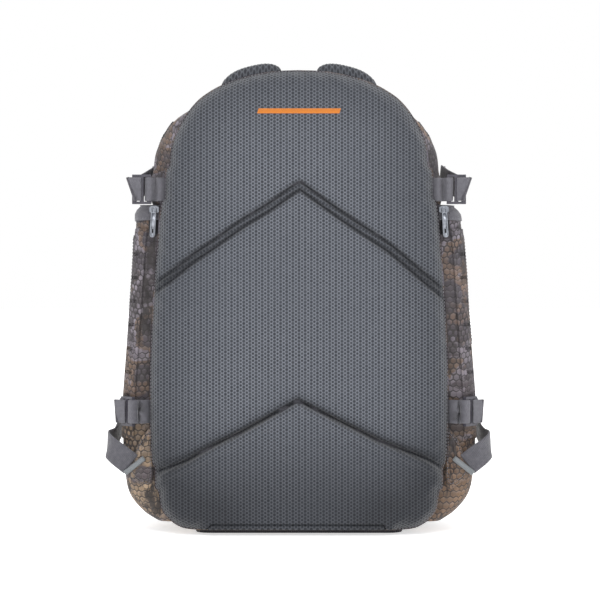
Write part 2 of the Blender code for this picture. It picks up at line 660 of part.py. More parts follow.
def make_shoulder_strap(side, finishes):
    name = side_name(side)
    upper = make_object("shoulder_upper_" + name, strap_link(side, STRAP_UPPER), finishes["mesh"])
    lower = make_object("shoulder_lower_" + name, strap_link(side, STRAP_LOWER), finishes["mesh"])
    set_pivot(upper, strap_hinge(side))
    fold = fold_hinge(side)
    set_pivot(lower, fold)

    spot, along, across, outward = strap_frames(side, STRAP_LOWER)[-1]
    lock_start = spot + along * 0.0030 + outward * STRAP_EDGE / 2
    lock_along = (along + 0.12 * across).normalized()
    lock = make_object("strap_lock_" + name, placed(ladder_lock(), lock_start, lock_along, outward),
                       finishes["buckle"])
    set_pivot(lock, lock_start)
    tail_start = lock_start + lock_along * 0.012 + outward * (LOCK_THICKNESS / 2 + 0.0014)
    tail_end = tail_start + lock_along * 0.020 + outward * 0.002
    tail = make_object("strap_tail_" + name, ribbon([tail_start, tail_end], [outward, outward], WEBBING,
                                                    WEBBING_THICKNESS, 2), finishes["webbing"])
    set_pivot(tail, lock_start)

    spot, along, across, outward = strap_frames(side, STRAP_LOWER)[2]
    height = STRAP_THICKNESS + 0.0018
    half = STRAP_HALF_WIDTH * 0.86
    inward = -across
    band_points = [spot + across * (share * half) + outward * (height - 0.0035 * abs(share) ** 2)
                   for share in (-1.0, -0.4, 0.0, 0.4, 1.0)]
    half_buckle = make_object("sternum_half_" + name,
                              ribbon([point + outward * 0.0007 for point in band_points], [outward] * 5, 0.020,
                                     0.0014, 1), finishes["buckle"])
    seat = spot + inward * 0.012 + outward * (height + 0.0036)
    work = box((-0.014, -0.0028, -0.011), (0.014, 0.0028, 0.011))
    bmesh.ops.bevel(work, geom=list(work.edges), offset=0.0014, segments=1, affect="EDGES")
    combine(half_buckle, tool(placed(work, seat, inward, outward)), "UNION")
    set_pivot(half_buckle, fold)


def strap_hinge(side):
    return Vector((side * 0.050, STRAP_UPPER[0][0], 0.4885))


def fold_hinge(side):
    spot, _, _, outward = strap_frames(side, STRAP_LOWER)[0]
    middle = (STRAP_UPPER[-1][0] + STRAP_LOWER[0][0]) / 2
    return Vector((side * 0.051, middle, spot.z + STRAP_THICKNESS))


def make_haul_loop(finishes):
    """Webbing loop lying forward on the lid between the straps."""
    base = lid_height(0.0, -0.05) + 0.0016
    half = 0.0040
    profile_outer = [(-0.050, base), (0.000, base - 0.0025), (0.006, base + 0.0005), (0.0085, base + half),
                     (0.006, base + 2 * half - 0.0005), (-0.002, base + 2 * half), (-0.046, base + 2 * half + 0.0008),
                     (-0.050, base + 2 * half)]
    loop = make_object("haul_loop", profile_prism(profile_outer, WEBBING / 2), finishes["webbing"])
    thick = 0.0015
    profile_inner = [(-0.044, base + thick), (0.000, base + thick - 0.0025), (0.0050, base + thick),
                     (0.0068, base + half), (0.0050, base + 2 * half - thick), (-0.044, base + 2 * half - thick)]
    combine(loop, tool(profile_prism(profile_inner, 0.03)), "DIFFERENCE")
    set_pivot(loop, (0.0, -0.050, base + half))


# ---------------------------------------------------------------- assembly

def make_finishes():
    return {
        "camo": make_material("camo_fabric", (0.13, 0.11, 0.10), 0.85),
        "mesh": make_material("air_mesh", (0.075, 0.085, 0.095), 0.80),
        "webbing": make_material("grey_webbing", (0.13, 0.13, 0.15), 0.75),
        "binding": make_material("binding_tape", (0.10, 0.09, 0.11), 0.80),
        "buckle": make_material("buckle_plastic", (0.10, 0.10, 0.11), 0.45),
        "metal": make_material("zip_metal", (0.30, 0.32, 0.34), 0.35, 0.9),
        "tape": make_material("zip_tape", (0.03, 0.03, 0.035), 0.80),
        "plastic": make_material("frame_plastic", (0.06, 0.06, 0.065), 0.50),
        "foam": make_material("pad_foam", (0.05, 0.05, 0.055), 0.90),
        "lining": make_material("lining_fabric", (0.16, 0.16, 0.17), 0.85),
        "base": make_material("base_fabric", (0.06, 0.06, 0.065), 0.70),
    }


def make_all_pullers(finishes):
    for side in (-1, 1):
        name = side_name(side)
        place = (side * 0.1530, -0.0796, 0.3420)
        make_zip_puller("side_zip_" + name, place, (side, 0, 0), (0, -1, 0), (side * 0.06, 0, -1), PULL_LENGTH,
                        place, finishes)
    front = SHELL_RINGS[-1][0]
    place = Vector((-0.028, front + 0.0035, lid_line(front)))
    make_zip_puller("lid_zip", place, (1, 0, 0), (0, 1, 0), (0, 0, -1), 0.026, place, finishes)
    place = Vector((-0.060, front + 0.0024, DOOR_Z[1] - 0.006))
    make_zip_puller("door_zip", place, (1, 0, 0), (0, 1, 0), (0, 0, -1), 0.024, place, finishes)


def build():
    clear_scene()
    finishes = make_finishes()
    make_shell_parts(finishes)
    make_base_panel(finishes)
    make_inner_plates(finishes)
    make_back_panel(finishes)
    lid_tape = tape_band("lid_zip_tape", 1, finishes["tape"])
    set_pivot(lid_tape, LID_HINGE)
    tape_band("shell_zip_tape", -1, finishes["tape"])
    make_door_webbing(finishes)
    for side in (-1, 1):
        make_side_pocket(side, finishes)
        make_compression_set(side, "upper", UPPER_SET, finishes)
        make_compression_set(side, "lower", LOWER_SET, finishes)
        make_wing(side, finishes)
        make_shoulder_strap(side, finishes)
    make_haul_loop(finishes)
    make_all_pullers(finishes)


build()
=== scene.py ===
"""Looks of the tackle backpack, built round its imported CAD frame.

Frame: metres, +Z up, the padded back panel faces -Y, the tray door faces +Y. Side is -1 left, +1 right.
"""

import math

import bmesh
import bpy
import numpy as np
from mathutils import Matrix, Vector, noise
from mathutils.bvhtree import BVHTree


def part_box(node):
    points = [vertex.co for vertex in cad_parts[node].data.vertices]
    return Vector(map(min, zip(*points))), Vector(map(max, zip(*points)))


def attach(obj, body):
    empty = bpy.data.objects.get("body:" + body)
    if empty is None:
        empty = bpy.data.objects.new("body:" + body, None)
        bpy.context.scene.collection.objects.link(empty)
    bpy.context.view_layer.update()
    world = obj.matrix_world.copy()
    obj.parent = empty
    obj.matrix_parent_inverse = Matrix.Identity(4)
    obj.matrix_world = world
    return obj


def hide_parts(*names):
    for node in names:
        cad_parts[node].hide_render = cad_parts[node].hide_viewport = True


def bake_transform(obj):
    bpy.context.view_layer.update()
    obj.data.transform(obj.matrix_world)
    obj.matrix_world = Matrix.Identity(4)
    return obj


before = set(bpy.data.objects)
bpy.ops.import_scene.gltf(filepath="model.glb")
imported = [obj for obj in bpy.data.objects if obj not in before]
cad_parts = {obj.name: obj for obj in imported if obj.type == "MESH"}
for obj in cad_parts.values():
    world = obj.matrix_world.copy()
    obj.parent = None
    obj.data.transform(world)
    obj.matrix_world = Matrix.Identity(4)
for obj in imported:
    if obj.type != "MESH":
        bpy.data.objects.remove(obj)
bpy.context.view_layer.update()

SIDES = ((-1, "left"), (1, "right"))

# Shell of the bag: (y, width factor, height of the top), as in the CAD
SHELL_RINGS = [(-0.080, 1.000, 0.476), (-0.066, 1.030, 0.478), (-0.030, 1.040, 0.476),
               (0.010, 1.035, 0.463), (0.045, 1.010, 0.430), (0.070, 0.970, 0.385),
               (0.087, 0.910, 0.330), (0.095, 0.850, 0.270)]
SHELL_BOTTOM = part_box("main_shell")[0].z
SHELL_FRONT = SHELL_RINGS[-1][0]
LID_BACK = (-0.066, 0.460)
LID_FRONT = (0.090, 0.262)
CUT_GAP = 0.0007
WALL = 0.0030
TAPE_WIDTH = 0.009
TOOTH_PITCH = 0.0021
FRONT_PANEL_Y = 0.088         # the flat front of the shell lies beyond this
AHEAD_Y = 0.11                # ahead of everything on the front
DOOR_HALF_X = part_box("tray_door")[1].x
DOOR_LOW_Z, DOOR_HIGH_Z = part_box("tray_door")[0].z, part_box("tray_door")[1].z

# Side pocket: (z, distance of the outer face from the middle, front end), wider low down than the CAD
POCKET_RINGS = [(0.012, 0.1510, 0.014), (0.022, 0.1662, 0.022), (0.042, 0.1810, 0.030),
                (0.080, 0.1870, 0.030), (0.125, 0.1878, 0.030), (0.170, 0.1850, 0.030),
                (0.210, 0.1821, 0.030), (0.250, 0.1792, 0.030), (0.290, 0.1767, 0.028),
                (0.322, 0.1735, 0.020), (0.338, 0.1684, 0.012), (0.346, 0.1585, 0.004)]
POCKET_BACK_Y = -0.0755
POCKET_INNER_X = 0.118
BESIDE_X = 0.21               # beside everything on the sides
TACK_BELOW, TACK_LENGTH = 0.003, 0.0095     # bar tack at a slot's end
FLAP_LOW = (-0.064, 0.190)
FLAP_HIGH = (0.012, 0.328)
CAP_Z = 0.331

PAD_FRONT_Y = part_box("back_mesh")[1].y
PANEL_MIDDLE_Z = 0.2465       # the outline is read as rays from here
WEBBING = 0.025
WEBBING_THICKNESS = 0.0018
CELL = 0.0037
CELL_DEPTH = 0.00028           # on the straps
LOCK_BAR = 0.0045

# Pressed channels of the back pad, as (x, z)
CREASE_UPPER = [(-0.158, 0.254), (-0.082, 0.311), (0.001, 0.366), (0.095, 0.300), (0.160, 0.246)]
CREASE_LOWER = [(-0.160, 0.061), (-0.118, 0.077), (-0.088, 0.094), (-0.061, 0.107), (-0.001, 0.140),
                (0.084, 0.098), (0.134, 0.079), (0.160, 0.064)]

# Middle line of a shoulder strap on the lid: (y, x, how far its edges bend down)
STRAP_LINE = [(-0.048, 0.050, 0.0020), (-0.020, 0.050, 0.0020), (0.006, 0.051, 0.0018),
              (0.0125, 0.0515, 0.0016), (0.036, 0.055, 0.0012), (0.058, 0.060, 0.0008),
              (0.075, 0.067, 0.0004), (0.087, 0.074, 0.0), (0.0925, 0.080, 0.0)]
STRAP_HALF_WIDTH = 0.032
STRAP_THICKNESS = 0.012
STRAP_CLEARANCE = 0.0028
SHOULDER_BULGE = {-1: 0.0165, 1: 0.0095}
YOKE_BACK_Y = -0.0815

COMPRESSION = {
    "upper": {"lock": (0.1556, -0.0855, 0.363), "along": (1.0, 0.05, 0.0), "tab": (0.1466, -0.0850, 0.363),
              "tail": 0.0040,
              "strap": [(0.1730, -0.0795, 0.363), (0.1738, -0.0700, 0.364), (0.1690, -0.0560, 0.368),
                        (0.1600, -0.0380, 0.375), (0.1535, -0.0200, 0.382)],
              "normals": [(1, -0.6, 0), (1, 0, 0), (1, 0.2, 0), (1, 0.2, 0), (1, 0.2, 0)]},
    "lower": {"lock": (0.1742, -0.0868, 0.129), "along": (0.66, 0.75, 0.0), "tab": (0.1605, -0.0850, 0.129),
              "tail": 0.0060,
              "strap": [(0.1895, -0.0665, 0.129), (0.1915, -0.0500, 0.129), (0.1915, -0.0100, 0.129),
                        (0.1885, 0.0180, 0.129), (0.1800, 0.0360, 0.129), (0.1665, 0.0480, 0.129)],
              "normals": [(1, -0.3, 0), (1, 0, 0), (1, 0, 0), (1, 0.35, 0), (0.7, 0.7, 0), (0.6, 0.8, 0)]},
}
LOWER_ROUTE = [(0.1775, -0.0825, 0.0735), (0.1895, -0.0842, 0.0830), (0.1995, -0.0805, 0.0910),
               (0.2025, -0.0690, 0.0950), (0.1985, -0.0400, 0.0970), (0.1965, 0.0150, 0.1120),
               (0.1890, 0.0560, 0.1430), (0.1650, 0.0880, 0.1800), (0.1380, 0.1070, 0.2090),
               (0.1190, 0.1115, 0.2300), (0.1040, 0.1050, 0.2410), (0.0950, 0.1008, 0.2470)]
LOWER_NORMALS = [(0, -1, 0), (0.15, -1, 0), (0.7, -0.8, 0), (1, -0.2, 0), (1, 0, 0), (1, 0.15, 0),
                 (0.85, 0.5, 0), (0.5, 0.85, 0), (0.3, 1, 0.1), (0.2, 1, 0.2), (0.15, 1, 0.25),
                 (0.1, 1, 0.3)]


# ---------------------------------------------------------------- materials

def linear(red, green, blue):
    """An sRGB colour of 0 to 255 as linear values."""
    shares = [channel / 255 for channel in (red, green, blue)]
    return tuple(s / 12.92 if s <= 0.04045 else ((s + 0.055) / 1.055) ** 2.4 for s in shares) + (1.0,)


class Paint:
    """A material and short calls for its nodes."""

    def __init__(self, name, roughness, metallic=0.0, specular=0.5):
        self.material = bpy.data.materials.new(name)
        self.material.use_nodes = True
        self.nodes = self.material.node_tree.nodes
        self.links = self.material.node_tree.links
        self.shader = self.nodes["Principled BSDF"]
        self.shader.inputs["Roughness"].default_value = roughness
        self.shader.inputs["Metallic"].default_value = metallic
        self.shader.inputs["Specular IOR Level"].default_value = specular
        self.height = None

    def new(self, kind, inputs=(), **properties):
        node = self.nodes.new("ShaderNode" + kind)
        for key, value in properties.items():
            setattr(node, key, value)
        for key, value in dict(inputs).items():
            self.put(node.inputs[key], value)
        return node

    def put(self, socket, value):
        if isinstance(value, bpy.types.NodeSocket):
            self.links.new(value, socket)
        else:
            socket.default_value = value

    def math(self, operation, *values):
        node = self.new("Math", operation=operation)
        for socket, value in zip(node.inputs, values):
            self.put(socket, value)
        return node.outputs[0]

    def vector(self, operation, *values):
        node = self.new("VectorMath", operation=operation)
        for socket, value in zip(node.inputs, values):
            self.put(socket, value)
        return node.outputs["Value" if operation in ("LENGTH", "DOT_PRODUCT") else "Vector"]

    def mix(self, share, first, second):
        node = self.new("Mix", data_type="RGBA")
        self.put(node.inputs[0], share)
        self.put(node.inputs[6], first)
        self.put(node.inputs[7], second)
        return node.outputs[2]

    def steps(self, value, stops, interpolation="LINEAR"):
        """A colour ramp of (position, colour) or (position, grey) stops."""
        node = self.new("ValToRGB", {0: value})
        node.color_ramp.interpolation = interpolation
        elements = node.color_ramp.elements
        while len(elements) < len(stops):
            elements.new(0.5)
        for element, (position, colour) in zip(elements, stops):
            element.position = position
            element.color = colour if isinstance(colour, tuple) else (colour, colour, colour, 1.0)
        return node.outputs[0]

    def place(self):
        return self.new("TexCoord").outputs["Object"]

    def cloud(self, scale, detail=3.0, where=None, stretch=(1.0, 1.0, 1.0), roughness=0.55):
        where = where or self.place()
        if stretch != (1.0, 1.0, 1.0):
            where = self.vector("MULTIPLY", where, stretch)
        node = self.new("TexNoise", {"Vector": where, "Scale": scale, "Detail": detail,
                                     "Roughness": roughness})
        return node.outputs[0]

    def weave(self, pitch, where=None):
        """Over and under of a plain weave, from -1 to 1, on any surface."""
        parts = self.new("SeparateXYZ", {0: where or self.place()})
        waves = [self.math("SINE", self.math("MULTIPLY", parts.outputs[axis], 2 * math.pi / pitch))
                 for axis in range(3)]
        return self.math("MULTIPLY", self.math("ADD", self.math("ADD", waves[0], waves[1]), waves[2]),
                         1 / 3)

    def hexagons(self, first, second, pitch):
        """Distance from the nearest hexagon's rim, 0 at the rim and 0.5 in the middle, and a grey per hexagon."""
        root3 = math.sqrt(3.0)
        point = self.new("CombineXYZ", {0: self.math("DIVIDE", first, pitch),
                                        1: self.math("DIVIDE", second, pitch)})
        point = point.outputs[0]
        half = (0.5, root3 / 2, 0.5)
        low = (-0.5, -root3 / 2, -0.5)
        centred = []
        for shift in ((0.0, 0.0, 0.0), half):
            wrapped = self.new("VectorMath", operation="WRAP")
            for socket, value in zip(wrapped.inputs, (self.vector("SUBTRACT", point, shift), half, low)):
                self.put(socket, value)
            centred.append(wrapped.outputs[0])
        nearer = self.math("LESS_THAN", self.vector("LENGTH", centred[1]),
                           self.vector("LENGTH", centred[0]))
        local = self.mix(nearer, centred[0], centred[1])
        size = self.vector("ABSOLUTE", local)
        slanted = self.vector("DOT_PRODUCT", size, (0.5, root3 / 2, 0.0))
        level = self.new("SeparateXYZ", {0: size}).outputs[0]
        rim = self.math("SUBTRACT", 0.5, self.math("MAXIMUM", level, slanted))
        cell = self.new("TexWhiteNoise", {"Vector": self.vector("SUBTRACT", point, local)}).outputs[0]
        return rim, cell, local

    def bump(self, height, distance, strength=1.0):
        node = self.new("Bump", {"Height": height, "Distance": distance, "Strength": strength})
        if self.height is not None:
            self.links.new(self.height, node.inputs["Normal"])
        self.height = node.outputs[0]

    def colour(self, value):
        self.put(self.shader.inputs["Base Color"], value)

    def roughness(self, value):
        self.put(self.shader.inputs["Roughness"], value)

    def sheen(self, weight, roughness=0.5):
        self.shader.inputs["Sheen Weight"].default_value = weight
        self.shader.inputs["Sheen Roughness"].default_value = roughness

    def done(self):
        if self.height is not None:
            self.links.new(self.height, self.shader.inputs["Normal"])
        return self.material


def make_camo():
    """Printed pack cloth: bark patches above, scales with dark rims lower down."""
    paint = Paint("camo_cloth", 0.78, specular=0.3)
    parts = paint.new("SeparateXYZ", {0: paint.place()})
    x, y, z = parts.outputs
    along = paint.math("ADD", paint.math("ABSOLUTE", x), paint.math("MULTIPLY", y, 0.9))
    up = paint.math("SUBTRACT", z, paint.math("MULTIPLY", y, 0.55))
    wander = paint.math("MULTIPLY", paint.math("SUBTRACT", paint.cloud(55.0, 2.0), 0.5), 0.0035)
    rim, cell, local = paint.hexagons(paint.math("ADD", along, wander), paint.math("ADD", up, wander),
                                      0.0068)
    broad = paint.cloud(9.0, 4.0, stretch=(1.0, 1.0, 0.6))
    height = paint.math("ADD", z, paint.math("MULTIPLY", paint.math("SUBTRACT", broad, 0.5), 0.55))
    base = paint.steps(height, [(0.02, linear(158, 136, 110)), (0.13, linear(126, 106, 86)),
                                (0.17, linear(84, 72, 70)), (0.27, linear(102, 95, 100)),
                                (0.32, linear(56, 50, 57)), (0.46, linear(70, 63, 69))])
    patch = paint.steps(paint.cloud(15.0, 3.0, stretch=(1.0, 1.0, 1.4)),
                        [(0.40, linear(46, 43, 54)), (0.42, linear(92, 72, 58)),
                         (0.485, linear(104, 82, 64)),
                         (0.50, linear(124, 118, 128)), (0.545, linear(108, 102, 112)),
                         (0.555, linear(54, 49, 57))])
    upper_half = paint.steps(height, [(0.12, 0.30), (0.18, 0.72)])
    base = paint.mix(upper_half, base, patch)
    rust = paint.steps(paint.cloud(17.0, 5.0, stretch=(1.0, 1.0, 0.55)), [(0.52, 0.0), (0.57, 1.0)])
    shadow = paint.steps(paint.cloud(13.0, 5.0, stretch=(1.0, 1.0, 1.5)), [(0.52, 0.0), (0.56, 1.0)])
    base = paint.mix(paint.math("MULTIPLY", shadow, 0.9), base, linear(62, 57, 66))
    base = paint.mix(paint.math("MULTIPLY", rust, 0.85), base,
                     paint.mix(paint.cloud(40.0), linear(84, 62, 46), linear(126, 100, 76)))
    tone = paint.steps(cell, [(0.0, 0.62), (1.0, 1.30)])
    scales = paint.new("Mix", data_type="RGBA", blend_type="MULTIPLY")
    paint.put(scales.inputs[0], 0.8)
    paint.put(scales.inputs[6], base)
    paint.put(scales.inputs[7], tone)
    lit = paint.math("MULTIPLY", paint.new("SeparateXYZ", {0: local}).outputs[1], 0.9)
    shade = paint.new("Mix", data_type="RGBA", blend_type="ADD")
    paint.put(shade.inputs[0], paint.math("MAXIMUM", paint.math("MULTIPLY", lit, 0.25), 0.0))
    paint.put(shade.inputs[6], scales.outputs[2])
    paint.put(shade.inputs[7], linear(190, 185, 190))
    dark = linear(26, 22, 25)
    drawn = paint.math("MAXIMUM", paint.math("SUBTRACT", paint.cloud(24.0, 3.0), 0.40), 0.0)
    rims = paint.math("LESS_THAN", rim, paint.math("MULTIPLY", drawn, 0.75))
    bark = paint.steps(paint.cloud(60.0, 6.0, stretch=(1.0, 1.0, 0.28), roughness=0.7),
                       [(0.40, 1.0), (0.46, 0.0)])
    printed = paint.mix(paint.math("MULTIPLY", rims, 0.85), shade.outputs[2], dark)
    printed = paint.mix(paint.math("MULTIPLY", bark, 0.9), printed, dark)
    weave = paint.weave(0.0009)
    printed = paint.mix(paint.steps(weave, [(0.0, 0.0), (1.0, 0.16)]), printed, linear(190, 185, 180))
    wear = paint.steps(paint.cloud(140.0, 3.0), [(0.35, 0.0), (0.8, 0.16)])
    paint.colour(paint.mix(wear, printed, linear(128, 122, 122)))
    paint.roughness(paint.steps(paint.cloud(30.0), [(0.2, 0.70), (0.8, 0.86)]))
    paint.bump(weave, 0.00016)
    paint.bump(paint.cloud(95.0, 4.0), 0.0006, 0.5)
    paint.sheen(0.12)
    return paint.done()


def make_air_mesh():
    """Coarse 3-D spacer mesh: light threads with painted highlights on their knots, between dark holes that are
    partly painted shade, drawn in metres on the UV map.
    """
    paint = Paint("spacer_mesh", 0.82, specular=0.25)
    place = paint.new("UVMap", uv_map="UVMap").outputs[0]
    parts = paint.new("SeparateXYZ", {0: place})
    root3 = math.sqrt(3.0)
    rim, cell, local = paint.hexagons(parts.outputs[1], parts.outputs[0], CELL)
    threads = paint.steps(rim, [(0.06, 1.0), (0.25, 0.0)])
    fibre = paint.cloud(1500.0, 2.0, where=place)
    # painted highlights: the thread knots are lightened as if catching the light
    knot_highlights = paint.steps(paint.vector("LENGTH", local), [(0.44, 0.0), (0.57, 1.0)])
    strand = paint.mix(fibre, linear(72, 75, 82), linear(98, 102, 110))
    light = paint.mix(paint.math("MULTIPLY", knot_highlights, 0.70), strand, linear(124, 128, 137))
    # dark holes: the mesh's own darker tone plus painted shade in the holes
    holes = paint.mix(cell, linear(44, 46, 52), linear(62, 64, 70))
    colour = paint.mix(threads, holes, light)
    broad = paint.steps(paint.cloud(7.0, 3.0), [(0.25, 0.0), (0.75, 1.0)])
    colour = paint.mix(paint.math("MULTIPLY", broad, 0.35), colour, linear(66, 70, 78))
    # painted shade: the 'shade' attribute darkens creases, the rim, the bottom and the strap edges and channels
    deep = paint.new("Attribute", attribute_name="shade").outputs["Fac"]
    colour = paint.mix(paint.math("MULTIPLY", deep, 0.75), colour, linear(24, 25, 29))
    paint.colour(colour)
    paint.roughness(paint.steps(threads, [(0.0, 0.92), (1.0, 0.70)]))
    paint.bump(threads, 0.0005, 0.8)
    paint.bump(paint.math("SINE", paint.math("MULTIPLY", parts.outputs[0], root3 * 5200.0)), 0.00005, 0.6)
    paint.sheen(0.25)
    return paint.done()


def make_webbing(name, dark, light, shine):
    """Woven nylon webbing with lengthwise ribs and cross picks, in metres on the UV map."""
    paint = Paint(name, shine, specular=0.5)
    place = paint.new("UVMap", uv_map="UVMap").outputs[0]
    across, along = paint.new("SeparateXYZ", {0: place}).outputs[:2]
    ribs = paint.math("SINE", paint.math("MULTIPLY", across, 2 * math.pi / 0.0013))
    chevron = paint.math("ADD", paint.math("ABSOLUTE",
                                           paint.math("SINE", paint.math("MULTIPLY", across, 480.0))),
                         paint.math("MULTIPLY", along, 900.0))
    picks = paint.math("SINE", paint.math("MULTIPLY", chevron, 5.0))
    thread = paint.math("ADD", paint.math("MULTIPLY", ribs, 0.6), paint.math("MULTIPLY", picks, 0.5))
    tone = paint.steps(paint.math("ADD", paint.math("MULTIPLY", thread, 0.32), 0.5),
                       [(0.1, dark), (0.9, light)])
    fuzz = paint.steps(paint.cloud(260.0, 3.0), [(0.40, 0.0), (0.90, 0.35)])
    paint.colour(paint.mix(fuzz, tone, linear(128, 127, 134)))
    paint.roughness(paint.steps(paint.cloud(60.0), [(0.2, shine - 0.08), (0.8, shine + 0.08)]))
    paint.bump(ribs, 0.00018)
    paint.bump(picks, 0.00012, 0.8)
    paint.sheen(0.2)
    return paint.done()


def make_plastic(name, colour, roughness):
    """Moulded acetal with a fine grain and rubbed marks."""
    paint = Paint(name, roughness, specular=0.5)
    grain = paint.cloud(2200.0, 2.0)
    rubs = paint.steps(paint.cloud(85.0, 5.0), [(0.52, 0.0), (0.72, 0.30)])
    mottle = paint.mix(paint.cloud(20.0), colour, tuple(min(1.0, c * 1.35) for c in colour[:3]) + (1.0,))
    paint.colour(paint.mix(rubs, mottle, linear(110, 110, 116)))
    paint.roughness(paint.steps(paint.cloud(120.0), [(0.2, roughness - 0.07), (0.8, roughness + 0.1)]))
    paint.bump(grain, 0.00008, 0.5)
    return paint.done()


def make_metal():
    """Worn nickel-plated zinc with fine scratches."""
    paint = Paint("zip_metal_worn", 0.34, metallic=1.0)
    scratches = paint.cloud(900.0, 4.0, stretch=(1.0, 1.0, 0.12), roughness=0.7)
    dirt = paint.steps(paint.cloud(240.0, 4.0), [(0.45, 0.0), (0.75, 0.55)])
    plated = paint.mix(scratches, linear(112, 116, 124), linear(176, 180, 188))
    paint.colour(paint.mix(dirt, plated, linear(74, 74, 80)))
    paint.roughness(paint.steps(scratches, [(0.3, 0.24), (0.8, 0.46)]))
    paint.bump(scratches, 0.00006, 0.5)
    return paint.done()


def make_cloth(name, dark, light, pitch, roughness=0.85, depth=0.0002):
    """A plain woven cloth or tape in one colour family."""
    paint = Paint(name, roughness, specular=0.3)
    weave = paint.weave(pitch)
    tone = paint.steps(paint.math("ADD", paint.math("MULTIPLY", weave, 0.5), 0.5),
                       [(0.0, dark), (1.0, light)])
    worn = paint.steps(paint.cloud(45.0, 5.0), [(0.45, 0.0), (0.85, 0.30)])
    paint.colour(paint.mix(worn, tone, tuple(min(1.0, c * 1.8 + 0.01) for c in light[:3]) + (1.0,)))
    paint.bump(weave, depth)
    paint.bump(paint.cloud(120.0, 3.0), 0.0004, 0.4)
    paint.sheen(0.15)
    return paint.done()


def make_binding():
    """Camo binding tape round the pad: dark, with pale lavender patches of painted highlight."""
    paint = Paint("binding_camo", 0.75, specular=0.35)
    patches = paint.steps(paint.cloud(38.0, 5.0, stretch=(1.0, 1.0, 0.7)),
                          [(0.40, linear(30, 27, 32)), (0.50, linear(58, 51, 54)),
                           (0.57, linear(84, 71, 60)), (0.66, linear(96, 93, 103))])
    ribs = paint.weave(0.0012)
    # painted highlights: pale lavender patches stand in for light on the rounded tape
    light = paint.steps(paint.cloud(16.0, 2.0), [(0.55, 0.0), (0.75, 0.35)])
    paint.colour(paint.mix(light, patches, linear(118, 116, 128)))
    paint.bump(ribs, 0.0003)
    return paint.done()


def make_thread(name, dark, light):
    paint = Paint(name, 0.55, specular=0.5)
    twist = paint.math("SINE", paint.math("MULTIPLY", paint.math(
        "ADD", *paint.new("SeparateXYZ", {0: paint.place()}).outputs[1:3]), 9000.0))
    paint.colour(paint.mix(paint.math("ADD", paint.math("MULTIPLY", twist, 0.4), 0.5), dark, light))
    paint.bump(twist, 0.0001)
    paint.sheen(0.3)
    return paint.done()


def make_finishes():
    return {
        "camo": make_camo(),
        "mesh": make_air_mesh(),
        "webbing": make_webbing("webbing_grey", linear(62, 61, 68), linear(112, 111, 119), 0.55),
        "webbing_dark": make_webbing("webbing_dark", linear(36, 34, 41), linear(74, 71, 81), 0.40),
        "binding": make_binding(),
        "buckle": make_plastic("acetal_grey", linear(62, 60, 68), 0.36),
        "metal": make_metal(),
        "tape": make_cloth("zip_tape_black", linear(16, 15, 18), linear(44, 43, 48), 0.0007),
        "coil": make_plastic("zip_coil", linear(34, 33, 38), 0.42),
        "plastic": make_plastic("frame_sheet_plastic", linear(44, 44, 48), 0.45),
        "foam": make_cloth("pad_foam_grey", linear(40, 40, 44), linear(70, 70, 76), 0.0016, 0.95),
        "lining": make_cloth("lining_pale", linear(96, 97, 102), linear(140, 141, 147), 0.0012),
        "base": make_cloth("base_ballistic", linear(24, 23, 27), linear(62, 60, 66), 0.0022, 0.7, 0.0004),
        "orange": make_thread("thread_orange", linear(184, 92, 6), linear(226, 138, 22)),
        "strap_webbing": make_webbing("webbing_strap", linear(52, 51, 58), linear(92, 91, 99), 0.52),
        "hem": make_webbing("webbing_hem", linear(84, 88, 92), linear(146, 152, 155), 0.35),
        "thread": make_thread("thread_grey", linear(74, 72, 80), linear(140, 138, 146)),
    }


# ---------------------------------------------------------------- geometry helpers

def smooth_path(points, steps):
    """Centripetal Catmull-Rom curve through the points, with the given steps in each span."""
    points = [Vector(point) for point in points]
    chain = [2.0 * points[0] - points[1]] + points + [2.0 * points[-1] - points[-2]]
    curve = []
    for before, start, end, after in zip(chain, chain[1:], chain[2:], chain[3:]):
        time_1 = math.sqrt((start - before).length)
        time_2 = time_1 + math.sqrt((end - start).length)
        time_3 = time_2 + math.sqrt((after - end).length)
        for step in range(steps):
            time = time_1 + (time_2 - time_1) * step / steps
            first = before.lerp(start, time / time_1)
            second = start.lerp(end, (time - time_1) / (time_2 - time_1))
            third = end.lerp(after, (time - time_2) / (time_3 - time_2))
            left = first.lerp(second, time / time_2)
            right = second.lerp(third, (time - time_1) / (time_3 - time_1))
            curve.append(left.lerp(right, (time - time_1) / (time_2 - time_1)))
    curve.append(points[-1])
    return curve


def resample(points, spacing):
    """Evenly spaced points along a polyline, both ends kept."""
    points = np.array([tuple(point) for point in points], float)
    lengths = np.concatenate([[0.0], np.cumsum(np.linalg.norm(np.diff(points, axis=0), axis=1))])
    count = max(2, int(round(lengths[-1] / spacing)) + 1)
    spots = np.linspace(0.0, lengths[-1], count)
    return np.stack([np.interp(spots, lengths, points[:, axis]) for axis in range(points.shape[1])], axis=1)


def ease(value, start, end):
    share = min(1.0, max(0.0, (value - start) / (end - start)))
    return share * share * (3.0 - 2.0 * share)


def shoulder_bulge(x, y, z):
    """How far the filled bag swells sideways beside the pad's arch."""
    over = ease(z, 0.322, 0.366) * (1.0 - ease(z, 0.430, 0.475))
    deep = ease(y, -0.0805, -0.060) * (1.0 - ease(y, -0.040, 0.004))
    return SHOULDER_BULGE[1 if x > 0 else -1] * over * deep * ease(abs(x), 0.060, 0.105)


def soften(points):
    """Slack of the cloth: one smooth field that moves every soft piece, so neighbours keep their gaps."""
    moved = np.array(points, float)
    flat = moved.reshape(-1, 3)
    for index, (x, y, z) in enumerate(flat.copy()):
        flat[index][0] += math.copysign(shoulder_bulge(x, y, z), x)
        share = min(1.0, max(0.0, (y + 0.074) / 0.022))
        if share <= 0.0:
            continue
        broad = noise.noise_vector(Vector((x * 15.0, y * 15.0, z * 13.0)))
        folds = noise.noise_vector(Vector((x * 36.0 + 7.0, y * 36.0, z * 24.0)))
        creases = noise.noise(Vector((x * 60.0, y * 60.0 + 3.0, z * 22.0)))
        shift = broad * 0.0017 + folds * 0.0010 + Vector((x, y, 0.0)).normalized() * (creases * 0.0007)
        flat[index] += np.array(shift) * share
    return moved


